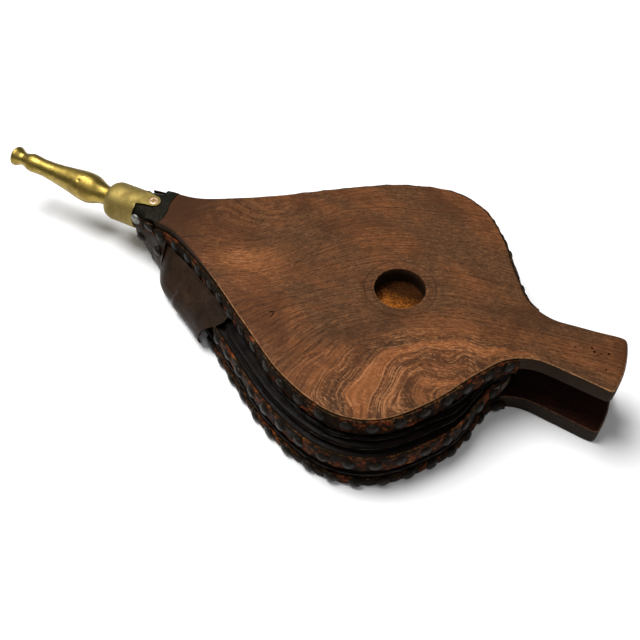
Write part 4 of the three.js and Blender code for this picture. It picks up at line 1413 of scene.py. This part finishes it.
def headPiece(name, spot, outward, side, seed, place, radius, sink, material=None):
    # one nail head as a piece of its own
    points, faces, wearAt = [], [], []
    nailHead(points, faces, wearAt, spot, outward, side, random.Random(seed), radius, sink)
    return newPiece(name, points, faces, place, material or darkMetal, wearAt, sharp=60)


def nailRow(name, line, offset, up, place, side, seed, drop=noDrop):
    rng = random.Random(seed)
    points, faces, wearAt = [], [], []
    for distance in nailPlaces(line, nailSet["pitch"], nailSet["margin"]):
        spot, outward = linePlace(line, distance + rng.uniform(-0.8, 0.8))
        rise = up + rng.uniform(-0.5, 0.5) - drop(spot.x)
        spot = spot + outward * offset
        nailHead(points, faces, wearAt, (spot.x, spot.y, rise), outward, side, rng, nailSet["radius"],
                 nailSet["sink"])
    return newPiece(name, points, faces, place, darkMetal, wearAt, sharp=60)


def trimPiece(name, line, low, high, thick, place, side, seed, nails, drop=noDrop):
    # a strip with soft edges that puffs out between its nails and wanders a little up and down
    def section(i, p):
        walked = lengths[i]
        nearest = min(abs(walked - n) for n in nails)
        puff = 0.55 * easeStep(nearest, 3.4, 7.5) + 0.22 * roughly(p.x, p.y, 0, 5, seed)
        fall = drop(p.x)
        topWave = 0.55 * roughly(p.x, p.y, 0, 9, seed + 3) - fall
        lowWave = 0.55 * roughly(p.x, p.y, 0, 7, seed + 5) - fall
        t = layout["rimGap"] + thick + puff
        rest = layout["rimGap"] - 0.05
        middle = (low + high) / 2
        return [
            (rest, low + lowWave + 0.1), (t * 0.62, low + lowWave - 0.1), (t * 0.93, low + lowWave + 0.5),
            (t, low + lowWave + 1.6), (t + 0.1, middle - 1.2), (t + 0.05, middle + 1.2),
            (t, high + topWave - 1.7),
            (t * 0.92, high + topWave - 0.6), (t * 0.62, high + topWave), (rest, high + topWave - 0.1),
        ]

    lengths = lengthsAlong(line)
    worn = (0.1, 0.2, 0.1, 0.1, 0.1, 0.1, 0.1, 0.3, 0.8, 0.5)
    return stripPiece(name, line, section, place, side, trimLeather, lambda j: worn[j], sharp=60)


trimSet = {"thick": 1.4, "topFrom": -10, "from": 56, "middleFrom": 64, "to": 250, "middleTo": 243,
           "standOff": 0.8}
trimRows = {"top": (-14.0, -1.2, -6.6), "middle": (-7.4, 6.4, -0.6),
            "bottom": (0.6, 7.6, 4.4)}  # low, high, nails


def makeTrims():
    hoopSide = shifted(shifted(topSide, overhangAt), lambda x: -hoopSet["inset"])
    s = trimSet
    rows = [
        ("top", between(topSide, s["topFrom"], s["to"]), 0.0, topPlace, "top_board", 0.0),
        ("middle", between(hoopSide, s["middleFrom"], s["middleTo"]), hoopSet["centre"], hoopPlace,
         "middle_hoop", 0.0),
        ("bottom", between(bottomSide, s["from"], s["to"]), 0.0, basePlace, "bottom_board", s["standOff"]),
    ]
    for side, label in sides:
        for order, (row, line, rise, place, body, standOff) in enumerate(rows):
            low, high, nailAt = (level + rise for level in trimRows[row])
            line = shifted(line, lambda x: standOff)
            seed = 10 * order + (3 if side < 0 else 6)
            nails = nailPlaces(line, nailSet["pitch"], nailSet["margin"])
            drop = noseDrop if row == "top" else noDrop
            piece = trimPiece(f"{row}_trim_strip_{label}", line, low, high, s["thick"],
                              place, side, seed, nails, drop)
            finishPiece(piece, body, "trim_leather", f"{row}_trim_{label}")
            heads = nailRow(f"{row}_nails_{label}", line, layout["rimGap"] + s["thick"], nailAt, place, side,
                            seed,
                            drop)
            finishPiece(heads, body, "dark_nail")


noseTrimSet = {
    "line": [(-29.5, 13.1), (-20, 14.4), (-10.8, 15.4)], "low": 33.0, "high": 43.1, "thick": 1.3,
    "puffAt": [3.6, 15.5], "nailsAlong": (3.8, 15.6), "standOff": 1.6, "nailRadius": 3.9,
    "heights": {"left": (41.2, 40), "right": (37.4, 37.4)},
    "singles": {"patch_nail": (-6, 21.8, 24), "nose_nail": (-24, 15, 24), "rim_nail": (-14.6, 15.5, 6)},
    "singleOut": (-0.2, 0.98), "singleRadius": 4.1, "singleSink": 1.2,
}


def makeNoseTrims():
    s = noseTrimSet
    line = smoothLine(s["line"], 1.2)
    for side, label in sides:
        piece = trimPiece("nose_trim_strip_" + label, line, s["low"], s["high"], s["thick"], basePlace, side,
                          40 + side, s["puffAt"])
        finishPiece(piece, "bottom_board", "trim_leather", "nose_trim_" + label)
        for number, (distance, height) in enumerate(zip(s["nailsAlong"], s["heights"][label])):
            spot, outward = linePlace(line, distance)
            spot = spot + outward * s["standOff"]
            metal = brightMetal if number == 0 and side < 0 else darkMetal
            head = headPiece(f"nose_trim_nail_{number + 1}_{label}", (spot.x, spot.y, height), outward, side,
                             70 + number + side, basePlace, s["nailRadius"], nailSet["sink"], metal)
            finishPiece(head, "bottom_board", "dark_nail")
        for number, (name, spot) in enumerate(s["singles"].items()):
            head = headPiece(f"{name}_head_{label}", spot, s["singleOut"], side, 80 + number + side,
                             basePlace,
                             s["singleRadius"], s["singleSink"])
            finishPiece(head, "bottom_board", "dark_nail", f"{name}_{label}")


makeTrims()
makeNoseTrims()
print("trims and nails built")

patchSet = {
    "rows": 26, "columns": 46, "thick": 1.5, "low": 3.4, "seam": 0.46, "stepAt": 31, "stepHeight": 1.3,
    "front": -11.5, "rearLow": 63, "rearMid": 64.5, "rearTop": 74.5,
    "bulge": [(-30, 0.2), (-20, 1.2), (-12, 3.0), (-4, 8.0), (4, 14.5), (12, 18.3), (22, 19.8), (32, 19.4),
              (46, 18.6), (60, 18.2), (80, 17.6)],
    "face": [(0.0, 0.92), (0.12, 1.0), (0.28, 1.0), (0.46, 0.87), (0.66, 0.63), (0.84, 0.36), (1.0, 0.10)],
    "noseRear": 1.0, "noseFront": -28.6,
}


def tableAt(table, x):
    for (x0, a), (x1, b) in zip(table, table[1:]):
        if x <= x1:
            t = max(0.0, (x - x0) / (x1 - x0))
            return a + (b - a) * t
    return table[-1][1]


def softTable(table, x, reach):
    return (tableAt(table, x - reach) + 2 * tableAt(table, x) + tableAt(table, x + reach)) / 4


noseSideLine = smoothLine([(-29.5, 13.2), (-20, 14.5), (-10.4, 15.2), (4, 17)], 0.5)
fullSide = [p for p in noseSideLine if p.x < -9.5] + [p for p in topSide if p.x > -9]


def sidePlace(x):
    for i in range(len(fullSide) - 1):
        a, b = fullSide[i], fullSide[i + 1]
        if a.x <= x <= b.x:
            t = (x - a.x) / (b.x - a.x)
            normal = (outwardAt(fullSide, i) * (1 - t) + outwardAt(fullSide, i + 1) * t).normalized()
            return a.lerp(b, t), normal
    return fullSide[0], outwardAt(fullSide, 0)


def patchPoint(u, v, side, inner=0.0):
    # u runs from the front edge to the rear edge, v from the low edge to the top edge
    s = patchSet
    rear = s["rearLow"] + (s["rearMid"] - s["rearLow"]) * easeStep(v, 0.1, 0.45)
    rear += (s["rearTop"] - s["rearMid"]) * easeStep(v, 0.4, 0.95)
    x = s["front"] + (rear - s["front"]) * u
    base, normal = sidePlace(x)
    lean = math.tan(math.radians(layout["topTilt"])) * (x - layout["hingeX"])
    top = hingeZ - 13.0 - noseDrop(x) * 0.9 + lean
    low = s["low"] + 3.0 * (1 - easeStep(x, -11, 2))
    z = low + (top - low) * v
    out = softTable(s["bulge"], x, 3.0) * softTable(s["face"], v, 0.05) + 1.2
    out += s["stepHeight"] * easeStep(x, s["stepAt"] - 0.5, s["stepAt"] + 0.5) * (1 - easeStep(v, 0.5, 0.8))
    out += 0.4 * roughly(x, z, 0, 14, 2.0 + side) + 0.12 * roughly(x, z, 0, 4, 5.0 + side)
    spot = base + normal * (out - inner)
    return (spot.x, side * spot.y, z)


def makePatches():
    s = patchSet
    for side, label in sides:
        seamZ = s["low"] + (hingeZ - 13 - s["low"]) * s["seam"]
        halves = (
            ("lower", 0.0, s["seam"], ("bottom_board", "middle_hoop"), s["low"] + 3, seamZ - 1),
            ("upper", s["seam"], 1.0, ("middle_hoop", "top_board"), seamZ + 1, hingeZ - 16),
        )
        for half, fromV, toV, bodies, startZ, endZ in halves:
            def pointAt(u, v, inner):
                return patchPoint(u, fromV + (toV - fromV) * v, side, s["thick"] * inner)

            def wornAt(u, v):
                edge = u > 0.985 or (half == "lower" and v < 0.02)
                return 0.7 if edge else 0.1

            piece = sheetPiece(f"gusset_patch_{half}_{label}", pointAt, s["columns"], s["rows"] // 2,
                               basePlace,
                               patchLeather, wornAt)
            start, end = basePlace @ Vector((0, 0, startZ)), basePlace @ Vector((0, 0, endZ))
            replaced = [f"gusset_patch_{label}"] if half == "lower" else []
            finishBent(piece, bodies, start, end, "brown_leather", *replaced)

        def nosePoint(u, v, inner):
            x = s["noseFront"] + (s["noseRear"] - s["noseFront"]) * u
            base, normal = sidePlace(x)
            low = 25.5 - 20.5 * easeStep(x, s["noseFront"] - 4, -9)
            z = low + (36.5 - low) * v
            out = softTable(s["bulge"], x, 3.0) * softTable(s["face"], 0.1 + 0.9 * v, 0.05) + 0.35
            out += 0.15 * roughly(x, z, 0, 5, 8.0 + side)
            spot = base + normal * (out - 1.0 * inner)
            return (spot.x, side * spot.y, z)

        piece = sheetPiece("nose_side_leather_" + label, nosePoint, 26, 16, basePlace, patchLeather,
                           lambda u, v: 0.6 if v < 0.03 else 0.1)
        finishPiece(piece, "bottom_board", "black_leather")


makePatches()
print("patches built")

valveSet = {"tabX": 134, "hingeX": 143, "rearX": 192, "halfWidth": 24, "thick": 2.2, "level": -11.8,
            "discRadius": 19, "discThick": 2, "strapX": 172, "strapWidth": 9, "reach": 30, "drop": 18,
            "foot": 8,
            "bottom": 25.5, "tack": 2.6, "tackSink": 0.4, "grid": 1.5, "gap": 0.15, "bevel": 1.1,
            "discX": 166,
            "strapThick": 1.2, "strapColumns": 7}


def slabPiece(name, fromX, toX, seed, bevel=0.0):
    # a soft sheet with rounded corners and a slightly uneven skin
    s = valveSet
    columns, rows = max(4, round((toX - fromX) / s["grid"])), round(2 * s["halfWidth"] / s["grid"])

    def pointAt(u, v, inner):
        x, y = fromX + (toX - fromX) * u, s["halfWidth"] * (2 * v - 1)
        soft = 0.45 * max(0, 1 - min(v * rows, rows - v * rows, columns - u * columns) / 2)
        if inner:
            return (x + (bevel if u == 0 else 0), y, s["level"] - s["thick"] + soft * 0.6)
        return (x, y, s["level"] - soft + min(0, 0.14 * roughly(x, y, 0, 3.5, seed)))

    return sheetPiece(name, pointAt, columns, rows, topPlace, suede, lambda u, v: 0.0)


def makeValve():
    s = valveSet
    tab = slabPiece("valve_tab_suede", s["tabX"], s["hingeX"] - s["gap"], 1.0)
    finishPiece(tab, "top_board", "suede", "valve_flap_tab")
    flap = slabPiece("valve_flap_suede", s["hingeX"] + s["gap"], s["rearX"], 2.0, s["bevel"])
    finishPiece(flap, "valve_flap", "suede", "valve_flap")
    top = s["level"] - s["thick"] - 0.3
    r, t = s["discRadius"], s["discThick"]
    corner = [(0.0, 0.4), (0.0, r - 0.5), (0.15, r - 0.15), (0.5, r)]
    profile = corner + [(t - x, y) for x, y in reversed(corner)]
    facing = topPlace @ Matrix.Translation((s["discX"], 0, top)) @ Matrix.Rotation(math.radians(90), 4, "Y")
    disc = lathePiece("valve_disc_wood", profile, facing, paleWood, segments=72)
    finishPiece(disc, "valve_flap", "hoop_wood", "valve_disc")

    corners = [(s["reach"] + s["foot"], 0), (s["reach"] + 1, 0), (s["reach"] - 1.5, -3),
               (s["bottom"], -s["drop"] + 1.6),
               (s["bottom"] - 3, -s["drop"])]
    path = [Vector(p) for p in corners] + [Vector((-y, z)) for y, z in reversed(corners)]
    path = evenly(path, 1.5)
    points = []
    columns = s["strapColumns"]
    for i, p in enumerate(path):
        along = (path[min(i + 1, len(path) - 1)] - path[max(i - 1, 0)]).normalized()
        below = Vector((along.y, -along.x)) * s["strapThick"]
        if below.y > 0:
            below = -below
        for inner in (0, 1):
            for k in range(columns):
                x = s["strapX"] + s["strapWidth"] * (k / (columns - 1) - 0.5)
                spot = p + below * inner
                points.append((x, spot.x, s["level"] + spot.y + 0.08 * roughly(x, spot.x, spot.y, 4, 3.3)))
    faces = []
    ring = [*range(columns), *range(2 * columns - 1, columns - 1, -1)]
    for i in range(len(path) - 1):
        a = i * 2 * columns
        for j in range(len(ring)):
            b, c = ring[j], ring[(j + 1) % len(ring)]
            faces.append((a + b, a + c, a + 2 * columns + c, a + 2 * columns + b))
    faces.append(tuple(ring))
    faces.append(tuple((len(path) - 1) * 2 * columns + j for j in reversed(ring)))
    band = newPiece("valve_strap_leather", points, faces, topPlace, patchLeather, [0.1] * len(points),
                    sharp=60)
    finishPiece(band, "top_board", "brown_leather", "valve_strap")

    tacks = {"tab_tack": ((s["tabX"] + s["hingeX"]) / 2, 0.6 * s["halfWidth"],
                          s["level"] - s["thick"] - 0.05),
             "strap_tack": (s["strapX"], s["reach"] + s["foot"] / 2, s["level"] - 1.3)}
    for number, (name, spot) in enumerate(tacks.items()):
        for side, label in sides:
            head = headPiece(f"{name}_head_{label}", spot, (0, 0, -1), side, 90 + number + side, topPlace,
                             s["tack"], s["tackSink"])
            finishPiece(head, "top_board", "dark_nail", f"{name}_{label}")


makeValve()
frame["nodes"]["middle_hoop"].data.materials.clear()
frame["nodes"]["middle_hoop"].data.materials.append(paleWood)
print("valve built")

studioSet = {
    "world": 0.12, "floorHalf": 4.0, "floorGap": 0.0003,
    "lights": {"key": {"spot": (-0.58, 0.08, 1.62), "aim": (0.02, 0, 0), "size": 1.05, "power": 41},
               "fill": {"spot": (0.5, -0.7, 1.7), "aim": (0, 0, 0), "size": 1.3, "power": 5}},
}


def makeFloor():
    material, tree, shader = newMaterial("pale floor", **{"Roughness": 0.9})
    mottled = blur(tree, piecePlace(tree), 3.0, 2.0, 0.5)
    pale = ramp(tree, mottled, [(0.2, (0.92, 0.92, 0.92)), (0.8, (0.93, 0.93, 0.93))])
    tree.links.new(pale, shader.inputs["Base Color"])
    half = studioSet["floorHalf"]
    floor = bpy.data.meshes.new("floor")
    floor.from_pydata([(-half, -half, 0), (half, -half, 0), (half, half, 0), (-half, half, 0)], [],
                      [(0, 1, 2, 3)])
    floor.materials.append(material)
    ground = bpy.data.objects.new("floor", floor)
    ground.location.z = cadLow.z - studioSet["floorGap"]
    bpy.context.scene.collection.objects.link(ground)


def makeLight(name, s):
    data = bpy.data.lights.new(name, "AREA")
    data.shape = "DISK"
    data.size = s["size"]
    data.energy = s["power"]
    light = bpy.data.objects.new(name, data)
    light.location = s["spot"]
    light.rotation_euler = (Vector(s["aim"]) - Vector(s["spot"])).to_track_quat("-Z", "Y").to_euler()
    bpy.context.scene.collection.objects.link(light)


def makeStudio():
    world = bpy.data.worlds.new("studio")
    bpy.context.scene.world = world
    world.use_nodes = True
    back = world.node_tree.nodes["Background"]
    back.inputs["Color"].default_value = (1, 1, 1, 1)
    back.inputs["Strength"].default_value = studioSet["world"]
    for name, settings in studioSet["lights"].items():
        makeLight(name, settings)
    bpy.context.scene.view_settings.view_transform = "Standard"


makeFloor()
makeStudio()
